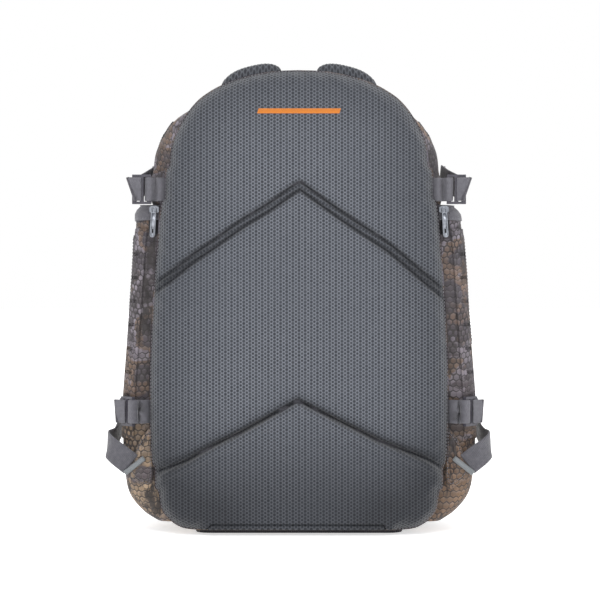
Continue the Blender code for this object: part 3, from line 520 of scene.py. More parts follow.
def make_piece(name, mesh, finish, body, replaced=(), smooth=True):
    piece = bpy.data.objects.new(name, mesh)
    bpy.context.scene.collection.objects.link(piece)
    mesh.materials.clear()
    mesh.materials.append(finish)
    if smooth:
        mesh.shade_smooth()
    if body is not None:
        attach(piece, body)
    if replaced:
        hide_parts(*replaced)
    return piece


def sheet_mesh(name, points, uvs=None, closed=False, caps=False):
    """Mesh of a grid of points (rows, columns, 3); closed joins the last column to the first."""
    rows, columns = points.shape[:2]
    index = np.arange(rows * columns).reshape(rows, columns)
    across = np.concatenate([index, index[:, :1]], axis=1) if closed else index
    quads = np.stack([across[:-1, :-1], across[:-1, 1:], across[1:, 1:], across[1:, :-1]],
                     axis=-1).reshape(-1, 4)
    faces = quads.tolist()
    if caps:
        faces.append(index[0][::-1].tolist())
        faces.append(index[-1].tolist())
    mesh = bpy.data.meshes.new(name)
    mesh.from_pydata(points.reshape(-1, 3).tolist(), [], faces)
    if uvs is not None:
        layer = mesh.uv_layers.new(name="UVMap")
        corners = np.zeros(len(mesh.loops), np.int32)
        mesh.loops.foreach_get("vertex_index", corners)
        layer.data.foreach_set("uv", uvs.reshape(-1, 2)[corners].astype(np.float32).ravel())
    return mesh


def outward(mesh):
    """Turns all faces outward."""
    work = bmesh.new()
    work.from_mesh(mesh)
    bmesh.ops.recalc_face_normals(work, faces=work.faces)
    work.to_mesh(mesh)
    work.free()
    return mesh


def finish_sheet(piece, thickness, offset=-1.0):
    modifier = piece.modifiers.new("thickness", "SOLIDIFY")
    modifier.thickness = thickness
    modifier.offset = offset
    modifier.use_even_offset = True
    bake_modifiers(piece)
    return piece


def bake_modifiers(piece):
    bpy.context.view_layer.update()
    depsgraph = bpy.context.evaluated_depsgraph_get()
    shape = bpy.data.meshes.new_from_object(piece.evaluated_get(depsgraph))
    piece.modifiers.clear()
    piece.data = shape


def surface_of(*pieces):
    """Search tree of the pieces' faces in the row frame."""
    verts, polygons = [], []
    for piece in pieces:
        start = len(verts)
        verts.extend(piece.matrix_world @ vert.co for vert in piece.data.vertices)
        polygons.extend([start + index for index in polygon.vertices] for polygon in piece.data.polygons)
    return BVHTree.FromPolygons(verts, polygons)


def frames_along(points, normals):
    """Direction, width direction and facing at each point of a path."""
    frames = []
    for index in range(len(points)):
        ahead = points[min(index + 1, len(points) - 1)] - points[max(index - 1, 0)]
        across = ahead.cross(normals[index]).normalized()
        frames.append((ahead.normalized(), across, across.cross(ahead).normalized()))
    return frames


def ribbon_mesh(name, points, normals, width, thickness, steps, skew=0.0, crown=0.0):
    """Webbing through the points: rounded selvages and a slightly crowned face, with a UV map in metres."""
    centres = smooth_path(points, steps)
    looks = []
    for index in range(len(centres)):
        span = min(index // steps, len(normals) - 2)
        looks.append(Vector(normals[span]).lerp(Vector(normals[span + 1]), index / steps - span))
    top = [(-1 + 2 * k / 12, 0.5) for k in range(13)]
    section = [(a * (1.0 if abs(a) < 0.99 else 0.985), h * (1.0 if abs(a) < 0.99 else 0.55))
               for a, h in top]
    section += [(-a, -h) for a, h in section]
    rings, uvs = [], []
    travelled = 0.0
    frames = frames_along(centres, looks)
    for index, (centre, (ahead, across, facing)) in enumerate(zip(centres, frames)):
        if index:
            travelled += (centre - centres[index - 1]).length
        share = index / (len(centres) - 1)
        wave = 0.0003 * math.sin(travelled * 160.0)
        ring = []
        for a, h in section:
            bulge = crown * (1 - a * a) + wave * a
            ring.append(centre + across * (a * width / 2) + facing * (h * thickness + bulge)
                        + ahead * (skew * share * a))
        rings.append(ring)
        uvs.append([(a * width / 2, travelled) for a, h in section])
    return sheet_mesh(name, np.array([[tuple(p) for p in ring] for ring in rings]), np.array(uvs), True,
                      True)


def tube_mesh(name, points, radius, sides=10, closed=False, flatten=1.0, ends=True):
    """Round or oval rod along points, with a UV map in metres."""
    count = len(points)
    rings, uvs = [], []
    side = None
    travelled = 0.0
    for index in range(count):
        before = points[index - 1] if (index or closed) else points[0]
        after = points[(index + 1) % count] if (index < count - 1 or closed) else points[-1]
        ahead = (after - before).normalized()
        if side is None:
            side = ahead.orthogonal().normalized()
        side = (side - ahead * side.dot(ahead)).normalized()
        other = ahead.cross(side)
        if index:
            travelled += (points[index] - points[index - 1]).length
        ring = []
        for k in range(sides):
            angle = 2 * math.pi * k / sides
            ring.append(tuple(points[index] + side * (math.cos(angle) * radius)
                              + other * (math.sin(angle) * radius * flatten)))
        rings.append(ring)
        uvs.append([(k / sides * 2 * math.pi * radius, travelled) for k in range(sides)])
    if closed:
        rings.append(rings[0])
        uvs.append(uvs[0])
    mesh = sheet_mesh(name, np.array(rings), np.array(uvs), True, ends and not closed)
    return weld(mesh) if closed else mesh


def weld(mesh, distance=1e-6):
    work = bmesh.new()
    work.from_mesh(mesh)
    bmesh.ops.remove_doubles(work, verts=work.verts, dist=distance)
    bmesh.ops.recalc_face_normals(work, faces=work.faces)
    work.to_mesh(mesh)
    work.free()
    return mesh


def join_meshes(name, meshes):
    work = bmesh.new()
    for mesh in meshes:
        work.from_mesh(mesh)
    joined = bpy.data.meshes.new(name)
    work.to_mesh(joined)
    work.free()
    for mesh in meshes:
        bpy.data.meshes.remove(mesh)
    return joined


def stitch_mesh(name, runs, pitch=0.0036, length=0.0025, radius=0.00042, lift=0.0001):
    """Rows of sewn stitches: each run is a list of (point, surface normal)."""
    rings, faces = [], []
    for run in runs:
        points = resample([point for point, _ in run], pitch)
        spots = np.array([tuple(point) for point, _ in run])
        for start, end in zip(points, points[1:]):
            middle = Vector((start + end) / 2)
            along = Vector(end - start)
            if along.length < 1e-5:
                continue
            along.normalize()
            normal = Vector(run[int(np.argmin(np.linalg.norm(spots - np.array(middle), axis=1)))][1])
            side = along.cross(normal).normalized()
            normal = side.cross(along)
            base = len(rings)
            for share, thick, sink in ((-0.5, 0.35, -0.9), (-0.3, 0.9, 0.0), (0.3, 0.9, 0.0),
                                       (0.5, 0.35, -0.9)):
                centre = middle + along * (share * length) + normal * (lift + radius * (0.5 + sink))
                for k in range(6):
                    angle = math.pi * k / 3
                    rings.append(tuple(centre + side * (math.cos(angle) * radius * thick)
                                       + normal * (math.sin(angle) * radius * thick)))
            for ring in range(3):
                for k in range(6):
                    a, b = base + ring * 6 + k, base + ring * 6 + (k + 1) % 6
                    faces.append((a, b, b + 6, a + 6))
            faces.append(tuple(base + k for k in reversed(range(6))))
            faces.append(tuple(base + 18 + k for k in range(6)))
    mesh = bpy.data.meshes.new(name)
    mesh.from_pydata(rings, [], faces)
    return outward(mesh)


def cling(points, tree, direction, lift=0.0):
    """Drops points onto a surface along a direction and returns (point, normal) pairs."""
    run = []
    for point in points:
        hit, normal, _, _ = tree.ray_cast(Vector(point) - direction * 0.05, direction)
        if hit is None:
            continue
        if normal.dot(direction) > 0:
            normal = -normal
        run.append((hit + normal * lift, normal))
    return run


# ---------------------------------------------------------------- outlines

def panel_outline(spacing=0.0020):
    """Closed outline of the back panel as (x, z), read off the CAD pad's front rim."""
    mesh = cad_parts["back_mesh"].data
    rim = sorted({(round(v.co.x, 6), round(v.co.z, 6)) for v in mesh.vertices
                  if v.co.y > PAD_FRONT_Y - 1e-5})
    widest = {}
    for x, z in rim:
        if x >= -1e-6:
            widest.setdefault(round(math.atan2(z - PANEL_MIDDLE_Z, x + 1e-9), 3),
                              []).append((math.hypot(x, z - PANEL_MIDDLE_Z), x, z))
    right = [max(spots)[1:] for _, spots in sorted(widest.items())]
    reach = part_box("back_mesh")
    right = [p for p in right if is_on_rim(p, right)]
    curve = [(p.x, p.y) for p in smooth_path([(x, z, 0.0) for x, z in right], 8)]
    curve = [(max(x, 0.0), min(max(z, reach[0].z), reach[1].z)) for x, z in curve]
    half = resample(curve, spacing)
    left = half[1:-1][::-1] * np.array([-1.0, 1.0])
    return np.concatenate([half, left])


def is_on_rim(point, points):
    """True if no other point lies further out in the same direction."""
    size = math.hypot(point[0], point[1] - PANEL_MIDDLE_Z)
    for other in points:
        reach = math.hypot(other[0], other[1] - PANEL_MIDDLE_Z)
        turn = abs(math.atan2(other[1] - PANEL_MIDDLE_Z, other[0])
                   - math.atan2(point[1] - PANEL_MIDDLE_Z, point[0]))
        if turn < 0.035 and reach > size + 0.0015:
            return False
    return True


def grow(outline, distance):
    along = np.roll(outline, -1, axis=0) - np.roll(outline, 1, axis=0)
    normal = np.stack([along[:, 1], -along[:, 0]], axis=1)
    return outline + distance * normal / np.linalg.norm(normal, axis=1, keepdims=True)


OUTLINE = panel_outline()
PANEL_BOTTOM, PANEL_TOP = OUTLINE[:, 1].min(), OUTLINE[:, 1].max()


def outline_at(width_factor, top, distance):
    """The panel outline fitted to one depth of the shell."""
    stretch = (top - SHELL_BOTTOM) / (PANEL_TOP - PANEL_BOTTOM)
    fitted = np.stack([OUTLINE[:, 0] * width_factor,
                       SHELL_BOTTOM + (OUTLINE[:, 1] - PANEL_BOTTOM) * stretch], axis=1)
    return grow(fitted, distance)


def closing_rings(outline, y, count):
    """Rings from an outline in to its upright middle line."""
    low, high = outline[:, 1].min() + 0.09, outline[:, 1].max() - 0.09
    if low > high:
        low = high = (outline[:, 1].min() + outline[:, 1].max()) / 2
    spine = np.stack([np.zeros(len(outline)), np.clip(outline[:, 1], low, high)], axis=1)
    rings = []
    for step in range(1, count + 1):
        share = 1.0 - step / count
        ring = spine + share * (outline - spine)
        rings.append(np.stack([ring[:, 0], np.full(len(ring), y), ring[:, 1]], axis=1))
    return rings


def shell_work(distance, inset=0.0, ends=True):
    """Fine outer surface of the shell as a bmesh, softened."""
    curve = smooth_path(SHELL_RINGS, 5)
    spots = resample(curve, 0.0050)
    rings = []
    for y, width_factor, top in spots:
        outline = outline_at(width_factor, top, distance)
        shift = -inset if y > 0.08 else 0.0
        rings.append(np.stack([outline[:, 0], np.full(len(outline), y + shift), outline[:, 1]], axis=1))
    if ends:
        front = outline_at(*SHELL_RINGS[-1][1:], distance)
        back = outline_at(*SHELL_RINGS[0][1:], distance)
        rings += closing_rings(front, SHELL_FRONT - inset, 26)
        rings = list(reversed(closing_rings(back, SHELL_RINGS[0][0], 8))) + rings
    mesh = sheet_mesh("shell_work", soften(np.array(rings)), None, True)
    work = bmesh.new()
    work.from_mesh(mesh)
    bpy.data.meshes.remove(mesh)
    bmesh.ops.remove_doubles(work, verts=work.verts, dist=1e-5)
    bmesh.ops.recalc_face_normals(work, faces=work.faces)
    return work


def slice_work(work, point, normal, drop=None):
    """Cuts along a plane; drop is 'front' or 'back' for the side to remove, or None."""
    geometry = list(work.verts) + list(work.edges) + list(work.faces)
    bmesh.ops.bisect_plane(work, geom=geometry, plane_co=point, plane_no=normal, dist=1e-6,
                           clear_outer=drop == "front", clear_inner=drop == "back")


def work_to_mesh(work, name):
    mesh = bpy.data.meshes.new(name)
    work.to_mesh(mesh)
    work.free()
    return mesh


# ---------------------------------------------------------------- shell, lid, door

SLOPE = (LID_FRONT[1] - LID_BACK[1]) / (LID_FRONT[0] - LID_BACK[0])
LID_NORMAL = Vector((0.0, -SLOPE, 1.0)).normalized()


def lid_point(shift=0.0):
    return Vector((0.0, LID_BACK[0], LID_BACK[1])) + LID_NORMAL * shift


def drop_faces(work, test):
    gone = [face for face in work.faces if test(face.calc_center_median())]
    bmesh.ops.delete(work, geom=gone, context="FACES")


def in_lid(point, shift=0.0):
    """Whether a point of the shell belongs to the lid, with the cut moved by shift."""
    return (point - lid_point(shift)).dot(LID_NORMAL) > 0.0 and point.y > LID_BACK[0] - shift


def make_shell(finishes):
    """Camo cloth of the shell, the lid and the tray door, cut from one surface. Returns the door."""
    work = shell_work(0.0)
    slice_work(work, lid_point(-CUT_GAP), LID_NORMAL)
    slice_work(work, Vector((0, LID_BACK[0] - CUT_GAP, 0)), Vector((0, 1, 0)))
    for x in (-DOOR_HALF_X - CUT_GAP, DOOR_HALF_X + CUT_GAP):
        slice_work(work, Vector((x, 0, 0)), Vector((1, 0, 0)))
    for z in (DOOR_LOW_Z - CUT_GAP, DOOR_HIGH_Z + CUT_GAP):
        slice_work(work, Vector((0, 0, z)), Vector((0, 0, 1)))
    drop_faces(work, lambda p: in_lid(p, -CUT_GAP) or (
        abs(p.x) < DOOR_HALF_X + CUT_GAP and DOOR_LOW_Z - CUT_GAP < p.z < DOOR_HIGH_Z + CUT_GAP
        and p.y > FRONT_PANEL_Y))
    shell = make_piece("shell_fabric", work_to_mesh(work, "shell_fabric"), finishes["camo"], "root",
                       ["main_shell"])
    finish_sheet(shell, WALL)
    work = shell_work(0.0)
    slice_work(work, lid_point(), LID_NORMAL, "back")
    slice_work(work, Vector((0, LID_BACK[0], 0)), Vector((0, 1, 0)), "back")
    lid = make_piece("lid_fabric", work_to_mesh(work, "lid_fabric"), finishes["camo"], "lid", ["top_lid"])
    finish_sheet(lid, WALL)
    work = shell_work(0.0)
    slice_work(work, Vector((0, FRONT_PANEL_Y, 0)), Vector((0, 1, 0)), "back")
    slice_work(work, Vector((-DOOR_HALF_X, 0, 0)), Vector((1, 0, 0)), "back")
    slice_work(work, Vector((DOOR_HALF_X, 0, 0)), Vector((1, 0, 0)), "front")
    slice_work(work, Vector((0, 0, DOOR_LOW_Z)), Vector((0, 0, 1)), "back")
    slice_work(work, Vector((0, 0, DOOR_HIGH_Z)), Vector((0, 0, 1)), "front")
    door = make_piece("tray_door_fabric", work_to_mesh(work, "tray_door_fabric"), finishes["camo"], "door",
                      ["tray_door"])
    finish_sheet(door, WALL)
    return door


def make_zip_tapes(finishes):
    """Tape on each side of the lid's cut, and the coil between them."""
    for name, node, body, low, high in (("lid_tape", "lid_zip_tape", "lid", 0.0004, 0.0004 + TAPE_WIDTH),
                                        ("shell_tape", "shell_zip_tape", "root", -0.0011 - TAPE_WIDTH,
                                         -0.0011)):
        work = shell_work(0.0011, -0.0011)
        slice_work(work, lid_point(low), LID_NORMAL, "back")
        slice_work(work, lid_point(high), LID_NORMAL, "front")
        slice_work(work, Vector((0, LID_BACK[0] + 0.016, 0)), Vector((0, 1, 0)), "back")
        piece = make_piece(name, work_to_mesh(work, name), finishes["tape"], body, [node])
        finish_sheet(piece, 0.0009)
        rows = []
        for offset in (low + 0.0022, high - 0.0022):
            rows += plane_runs(piece, lid_point(offset), LID_NORMAL)
        stitches = make_piece(name + "_stitches", stitch_mesh(name + "_stitches", rows), finishes["thread"],
                              body)
        stitches.data.shade_smooth()
    work = shell_work(0.0016, -0.0016)
    slice_work(work, Vector((0, LID_BACK[0] + 0.018, 0)), Vector((0, 1, 0)), "back")
    outer = make_piece("coil_guide", work_to_mesh(work, "coil_guide"), finishes["coil"], None)
    runs = plane_runs(outer, lid_point(0.0009), LID_NORMAL)
    bpy.data.objects.remove(outer)
    teeth = [tooth_row("coil", run, 0.0026, 0.0011) for run in runs]
    make_piece("lid_zip_coil", join_meshes("lid_zip_coil", teeth), finishes["coil"], "lid")


def plane_runs(piece, point, normal):
    """Ordered (point, normal) runs where a plane crosses the outer face of a piece."""
    work = bmesh.new()
    work.from_mesh(piece.data)
    work.transform(piece.matrix_world)
    result = bmesh.ops.bisect_plane(work, geom=list(work.verts) + list(work.edges) + list(work.faces),
                                    plane_co=point, plane_no=normal, dist=1e-6)
    edges = [e for e in result["geom_cut"] if isinstance(e, bmesh.types.BMEdge)]
    work.normal_update()
    centre = Vector((0.0, 0.0, 0.24))
    outer = [e for e in edges if (e.verts[0].co - centre).dot(e.verts[0].normal) > 0.0]
    links = {}
    for edge in outer:
        for a, b in ((edge.verts[0], edge.verts[1]), (edge.verts[1], edge.verts[0])):
            links.setdefault(a, []).append(b)
    runs, seen = [], set()
    ends = [v for v in links if len(links[v]) == 1] + list(links)
    for start in ends:
        if start in seen:
            continue
        run, vert = [], start
        while vert is not None:
            seen.add(vert)
            run.append((vert.co.copy(), vert.normal.copy()))
            following = [v for v in links[vert] if v not in seen]
            vert = following[0] if following else None
        if len(run) > 6:
            runs.append(run)
    work.free()
    return runs


def line_ahead(from_x, from_z, to_x, to_z, steps=60):
    """Points of a straight line ahead of the front panel, to be laid on it."""
    return [(from_x + (to_x - from_x) * k / steps, AHEAD_Y, from_z + (to_z - from_z) * k / steps)
            for k in range(steps + 1)]


def tack_heights(slot_z):
    """Heights of the stitches in the bar tack at the end of a slot."""
    return [slot_z - TACK_BELOW + TACK_LENGTH * k / 3 for k in range(4)]


def tooth_row(name, run, width, height, pitch=TOOTH_PITCH):
    """Coil teeth along a run of (point, normal)."""
    points = resample([point for point, _ in run], pitch)
    spots = np.array([tuple(point) for point, _ in run])
    verts, faces = [], []
    for index in range(1, len(points) - 1):
        centre = Vector(points[index])
        along = Vector(points[index + 1] - points[index - 1]).normalized()
        normal = Vector(run[int(np.argmin(np.linalg.norm(spots - points[index], axis=1)))][1])
        side = along.cross(normal).normalized()
        normal = side.cross(along)
        base = len(verts)
        for a in (-0.5, 0.5):
            for s, h in ((-1.0, 0.0), (-0.85, 0.8), (-0.3, 1.0), (0.3, 1.0), (0.85, 0.8), (1.0, 0.0)):
                verts.append(tuple(centre + along * (a * pitch * 0.62) + side * (s * width / 2)
                                   + normal * (h * height)))
        for k in range(5):
            faces.append((base + k, base + k + 1, base + 7 + k, base + 6 + k))
        faces.append((base + 5, base, base + 6, base + 11))
        faces.append(tuple(base + k for k in reversed(range(6))))
        faces.append(tuple(base + 6 + k for k in range(6)))
    mesh = bpy.data.meshes.new(name)
    mesh.from_pydata(verts, [], faces)
    return outward(mesh)


def grid_with_holes(name, columns, rows, holes, place, step=0.006):
    """Sheet over a grid of lines, with the given cells left open; place maps (a, b) to the row frame."""
    def fine(lines):
        values = [lines[0]]
        for low, high in zip(lines, lines[1:]):
            count = max(1, int(math.ceil((high - low) / step)))
            values += [low + (high - low) * (k + 1) / count for k in range(count)]
        return values

    columns, rows = fine(columns), fine(rows)
    points = np.array([[place(a, b) for a in columns] for b in rows])
    mesh = sheet_mesh(name, soften(points))
    work = bmesh.new()
    work.from_mesh(mesh)
    work.faces.ensure_lookup_table()
    gone = []
    width = len(columns) - 1
    for face in work.faces:
        row, column = divmod(face.index, width)
        a, b = (columns[column] + columns[column + 1]) / 2, (rows[row] + rows[row + 1]) / 2
        if any(low_a < a < high_a and low_b < b < high_b for low_a, high_a, low_b, high_b in holes):
            gone.append(face)
    bmesh.ops.delete(work, geom=gone, context="FACES")
    work.to_mesh(mesh)
    work.free()
    return mesh


def make_door_details(finishes, door):
    """Slotted sheet, its sewn rim and the zip round the tray door."""
    low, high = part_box("door_slot_panel")
    slots = [(x - 0.014, x + 0.014, 0.064 + row * 0.025, 0.0675 + row * 0.025)
             for row in range(5) for x in (-0.060, -0.020, 0.020, 0.060)]
    columns = sorted({low.x, high.x} | {v for slot in slots for v in slot[:2]})
    rows = sorted({low.z, high.z} | {v for slot in slots for v in slot[2:]})
    mesh = grid_with_holes("door_slots", columns, rows, slots, lambda a, b: (a, low.y + 0.0002, b))
    mesh.flip_normals()
    sheet = make_piece("door_slots", mesh, finishes["camo"], "door", ["door_slot_panel"])
    finish_sheet(sheet, 0.0012, -1.0)
    tree = surface_of(sheet)
    inset = 0.0032
    runs = []
    corners = [(low.x + inset, low.z + inset), (high.x - inset, low.z + inset),
               (high.x - inset, high.z - inset),
               (low.x + inset, high.z - inset), (low.x + inset, low.z + inset)]
    for (ax, az), (bx, bz) in zip(corners, corners[1:]):
        runs.append(cling(line_ahead(ax, az, bx, bz), tree, Vector((0, -1, 0))))
    for slot in slots:
        for x in (slot[0] - 0.003, slot[1] + 0.003):
            for offset in (-0.0012, 0.0, 0.0012):
                line = [(x + offset, AHEAD_Y, z) for z in tack_heights(slot[2])]
                runs.append(cling(line, tree, Vector((0, -1, 0))))
    make_piece("door_stitches", stitch_mesh("door_stitches", [r for r in runs if len(r) > 1]),
               finishes["thread"], "door")
    tree = surface_of(door)
    edge = 0.006
    x, low_z, high_z = DOOR_HALF_X - edge, DOOR_LOW_Z + 0.004, DOOR_HIGH_Z - edge
    path = [(-x, low_z), (-x, high_z), (x, high_z), (x, low_z)]
    teeth = []
    for (ax, az), (bx, bz) in zip(path, path[1:]):
        run = cling(line_ahead(ax, az, bx, bz), tree, Vector((0, -1, 0)))
        teeth.append(tooth_row("teeth", run, 0.0034, 0.0008))
    make_piece("door_zip_coil", join_meshes("door_zip_coil", teeth), finishes["coil"], "door")


def make_front_piping(finishes):
    """Corded seam round the front panel, split at the lid's cut."""
    ring = outline_at(0.905, 0.326, 0.0006)
    points = soften(np.stack([ring[:, 0], np.full(len(ring), 0.0885), ring[:, 1]], axis=1))
    points = [Vector(p) for p in points]
    for name, body, keep in (("front_piping_lid", "lid", lambda p: in_lid(p, 0.0020)),
                             ("front_piping_shell", "root", lambda p: not in_lid(p, -0.0030))):
        kept = [keep(p) for p in points]
        start = next(i for i in range(len(points)) if kept[i] and not kept[i - 1])
        run = []
        for step in range(len(points)):
            index = (start + step) % len(points)
            if not kept[index]:
                break
            run.append(points[index])
        make_piece(name, tube_mesh(name, run, 0.0019), finishes["binding"], body)


# ---------------------------------------------------------------- back pad

def crease_distance(x, z, line):
    """Signed distance to a polyline of (x, z): positive below it."""
    best = np.full(x.shape, 1e9)
    for (ax, az), (bx, bz) in zip(line, line[1:]):
        dx, dz = bx - ax, bz - az
        share = np.clip(((x - ax) * dx + (z - az) * dz) / (dx * dx + dz * dz), 0.0, 1.0)
        away = np.hypot(x - ax - share * dx, z - az - share * dz)
        below = np.sign((x - ax) * dz - (z - az) * dx)
        best = np.where(away < np.abs(best), away * below, best)
    return best


def puffed_pad():
    """The CAD pad with its cover blown up a little by a cloth simulation; returns its search tree."""
    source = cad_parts["back_mesh"]
    work = bpy.data.objects.new("pad_sim", source.data.copy())
    bpy.context.scene.collection.objects.link(work)
    remesh = work.modifiers.new("remesh", "REMESH")
    remesh.mode = "VOXEL"
    remesh.voxel_size = 0.0055
    bake_modifiers(work)
    rest = np.array([v.co for v in work.data.vertices])
    rest[:, 1] = PAD_FRONT_Y + (rest[:, 1] - PAD_FRONT_Y) * 0.90
    work.data.vertices.foreach_set("co", rest.astype(np.float32).ravel())
    held = work.vertex_groups.new(name="held")
    creases = np.minimum(np.abs(crease_distance(rest[:, 0], rest[:, 2], CREASE_UPPER)),
                         np.abs(crease_distance(rest[:, 0], rest[:, 2], CREASE_LOWER)))
    for index, point in enumerate(rest):
        weight = 1.0 if point[1] > -0.088 else max(0.0, 1.0 - creases[index] / 0.012)
        if weight > 0.0:
            held.add([index], weight, "REPLACE")
    cloth = work.modifiers.new("cloth", "CLOTH")
    cloth.settings.use_pressure = True
    cloth.settings.uniform_pressure_force = 4.0
    cloth.settings.vertex_group_mass = "held"
    cloth.settings.effector_weights.gravity = 0.0
    cloth.settings.quality = 4
    cloth.collision_settings.use_collision = False
    for step in range(1, 21):
        bpy.context.scene.frame_set(step)
    bake_modifiers(work)
    bpy.context.scene.frame_set(1)
    moved = np.array([v.co for v in work.data.vertices])
    shift = moved - rest
    size = np.linalg.norm(shift, axis=1, keepdims=True)
    moved = rest + shift * np.minimum(1.0, 0.006 / np.maximum(size, 1e-9))
    work.data.vertices.foreach_set("co", moved.astype(np.float32).ravel())
    finer = work.modifiers.new("finer", "SUBSURF")
    finer.levels = finer.render_levels = 1
    bake_modifiers(work)
    tree = surface_of(work)
    bpy.data.objects.remove(work)
    return tree


def pad_points(tree, spacing, relief, sink):
    """Points, UVs and shade of the pad's face over rings from its rim to its middle line."""
    outline = OUTLINE if spacing is None else resample(np.vstack([OUTLINE, OUTLINE[:1]]), spacing)[:-1]
    low, high = PANEL_BOTTOM + 0.12, PANEL_TOP - 0.12
    spine = np.stack([np.zeros(len(outline)), np.clip(outline[:, 1], low, high)], axis=1)
    count = int(0.155 / spacing)
    shares = np.concatenate([[1.0, 1.0], np.linspace(0.9975, 0.0, count)])
    flat = spine[None] + shares[:, None, None] * (outline - spine)[None]
    x, z = flat[..., 0], flat[..., 1]
    distance = np.full(x.shape, 1e9)
    for ox, oz in OUTLINE[::2]:
        distance = np.minimum(distance, np.hypot(x - ox, z - oz))
    distance[:2] = 0.0
    front = np.full(x.shape, -0.1000)
    for row in range(2, x.shape[0]):
        for column in range(x.shape[1]):
            hit = tree.ray_cast(Vector((x[row, column], -0.2, z[row, column])), Vector((0, 1, 0)))[0]
            if hit is not None and hit.y < -0.090:
                front[row, column] = hit.y
    for column in range(x.shape[1]):
        inner = int(np.argmax(distance[:, column] >= 0.016))
        front[:inner, column] = front[inner, column]
    edge = PAD_FRONT_Y - 0.0012
    roll = np.sqrt(np.clip(1.0 - (1.0 - np.clip(distance / 0.015, 0.0, 1.0)) ** 2, 0.0, 1.0))
    y = edge + (front - edge) * roll
    upper = crease_distance(x, z, CREASE_UPPER)
    lower = crease_distance(x, z, CREASE_LOWER)
    fade = np.clip(distance / 0.006, 0.0, 1.0)
    wander = 0.0006 * np.sin(x * 90.0 + z * 40.0)
    groove = (0.0040 * np.exp(-((np.abs(upper + wander) - 0.0038) / 0.0018) ** 2)
              + 0.0036 * np.exp(-(upper / 0.012) ** 2))
    step = (0.0052 * np.exp(-((lower + 0.0010) / 0.0017) ** 2)
            + 0.0042 * np.exp(-(np.minimum(lower, 0.0) / 0.014) ** 2) * (lower < 0.0)
            + 0.0042 * np.exp(-(lower / 0.0022) ** 2) * (lower >= 0.0)
            - 0.0030 * np.exp(-((lower - 0.0062) / 0.0040) ** 2))
    depth = (groove + step) * fade
    near_rim = np.exp(-((distance - 0.010) / 0.008) ** 2)
    ripple = 0.0006 * np.sin((x * np.sign(z - 0.2) + z) * 300.0) * near_rim
    bend = 1.0 - np.clip(distance / 0.015, 0.0, 1.0)
    extra = 0.015 * (np.arcsin(bend) - bend)
    away = outline - spine
    away = away / np.linalg.norm(away, axis=1, keepdims=True)
    u, v = x + extra * away[None, :, 0], z + extra * away[None, :, 1]
    lattice = np.cos(2 * math.pi * v / CELL) * np.cos(2 * math.pi * u / (CELL * math.sqrt(3.0)))
    y = y + sink + depth + ripple + relief * lattice * roll
    y[0] = PAD_FRONT_Y + 0.0004
    y[1] = edge
    shade = np.clip((depth - 0.0030) / 0.0050, 0.0, 1.0) + 0.25 * np.exp(-distance / 0.0060)
    shade += 0.45 * np.exp(-(upper / 0.0065) ** 2) + 0.50 * np.exp(-((lower + 0.0030) / 0.0050) ** 2)
    low_down = np.clip((0.150 - z) / 0.130, 0.0, 1.0)
    shade += 0.74 * low_down * low_down * (3.0 - 2.0 * low_down) + 0.45 * np.exp(-(distance / 0.045) ** 2)
    return np.stack([x, y, z], axis=-1), np.stack([u, v], axis=-1), np.clip(shade, 0.0, 1.0)


def add_shade(mesh, shade):
    attribute = mesh.attributes.new("shade", "FLOAT", "POINT")
    attribute.data.foreach_set("value", np.asarray(shade, np.float32).ravel())


def make_back_pad(finishes):
    tree = puffed_pad()
    points, uvs, shade = pad_points(tree, 0.0014, -0.00018, 0.0)
    mesh = sheet_mesh("back_pad_cover", points, uvs, True)
    add_shade(mesh, shade)
    cover = make_piece("back_pad_cover", mesh, finishes["mesh"], "root", ["back_mesh"])
    points, uvs, _ = pad_points(tree, 0.0080, 0.0, 0.0035)
    points[..., 0] *= 0.985
    points[..., 2] = PANEL_BOTTOM + 0.003 + (points[..., 2] - PANEL_BOTTOM) * 0.985
    points[0][:, 1] = PAD_FRONT_Y
    points[1][:, 1] = PAD_FRONT_Y
    foam = make_piece("back_pad_foam", sheet_mesh("back_pad_foam", points, uvs, True), finishes["foam"],
                      "root", ["back_foam"])
    return cover


def make_binding_piping(finishes):
    """Folded binding round the pad, with its row of stitches."""
    outline = grow(OUTLINE, -0.0002)
    centre = [Vector((x, PAD_FRONT_Y + 0.0004 + 0.0003 * math.sin(i * 0.7), z))
              for i, (x, z) in enumerate(outline)]
    mesh = tube_mesh("panel_binding", centre, 0.0019, 12, True, 1.35)
    make_piece("panel_binding", mesh, finishes["binding"], "root", ["panel_piping"])
    rim = grow(OUTLINE, 0.0003)
    run = [(Vector((x, PAD_FRONT_Y - 0.0064, z)), Vector((0, -1, 0))) for x, z in rim]
    make_piece("binding_stitches", stitch_mesh("binding_stitches", [run + run[:1]]), finishes["thread"],
               "root")


def make_orange_bar(finishes, cover):
    """Plain embroidered bar: satin stitches side by side over a padded core."""
    tree = surface_of(cover)
    half, height, z = 0.043, 0.0030, 0.4440
    rows = []
    count = 172
    for index in range(count + 1):
        x = -half + 2 * half * index / count
        ridge = 0.00022 * (1 if index % 2 else 0)
        ring = []
        for k in range(9):
            share = -1 + k / 4
            top = math.sqrt(max(0.0, 1 - share * share))
            zz = z + share * height
            hit = tree.ray_cast(Vector((x, -0.2, zz)), Vector((0, 1, 0)))[0]
            base = hit.y if hit else -0.1
            ring.append((x + share * 0.0009, base + 0.0004 - top * (0.0011 + ridge), zz))
        rows.append(ring)
    points = np.array(rows)
    smoothed = (points[..., 1] + np.roll(points[..., 1], 1, 0) + np.roll(points[..., 1], -1, 0)
                + np.roll(points[..., 1], 2, 0) + np.roll(points[..., 1], -2, 0)) / 5
    ridge = np.where(np.arange(count + 1)[:, None] % 2, -0.00018, 0.00006)
    points[2:-2, :, 1] = smoothed[2:-2] + ridge[2:-2]
    piece = make_piece("orange_bar", outward(sheet_mesh("orange_bar", points)), finishes["orange"], "root")
    finish_sheet(piece, 0.0008)


# ---------------------------------------------------------------- side pockets

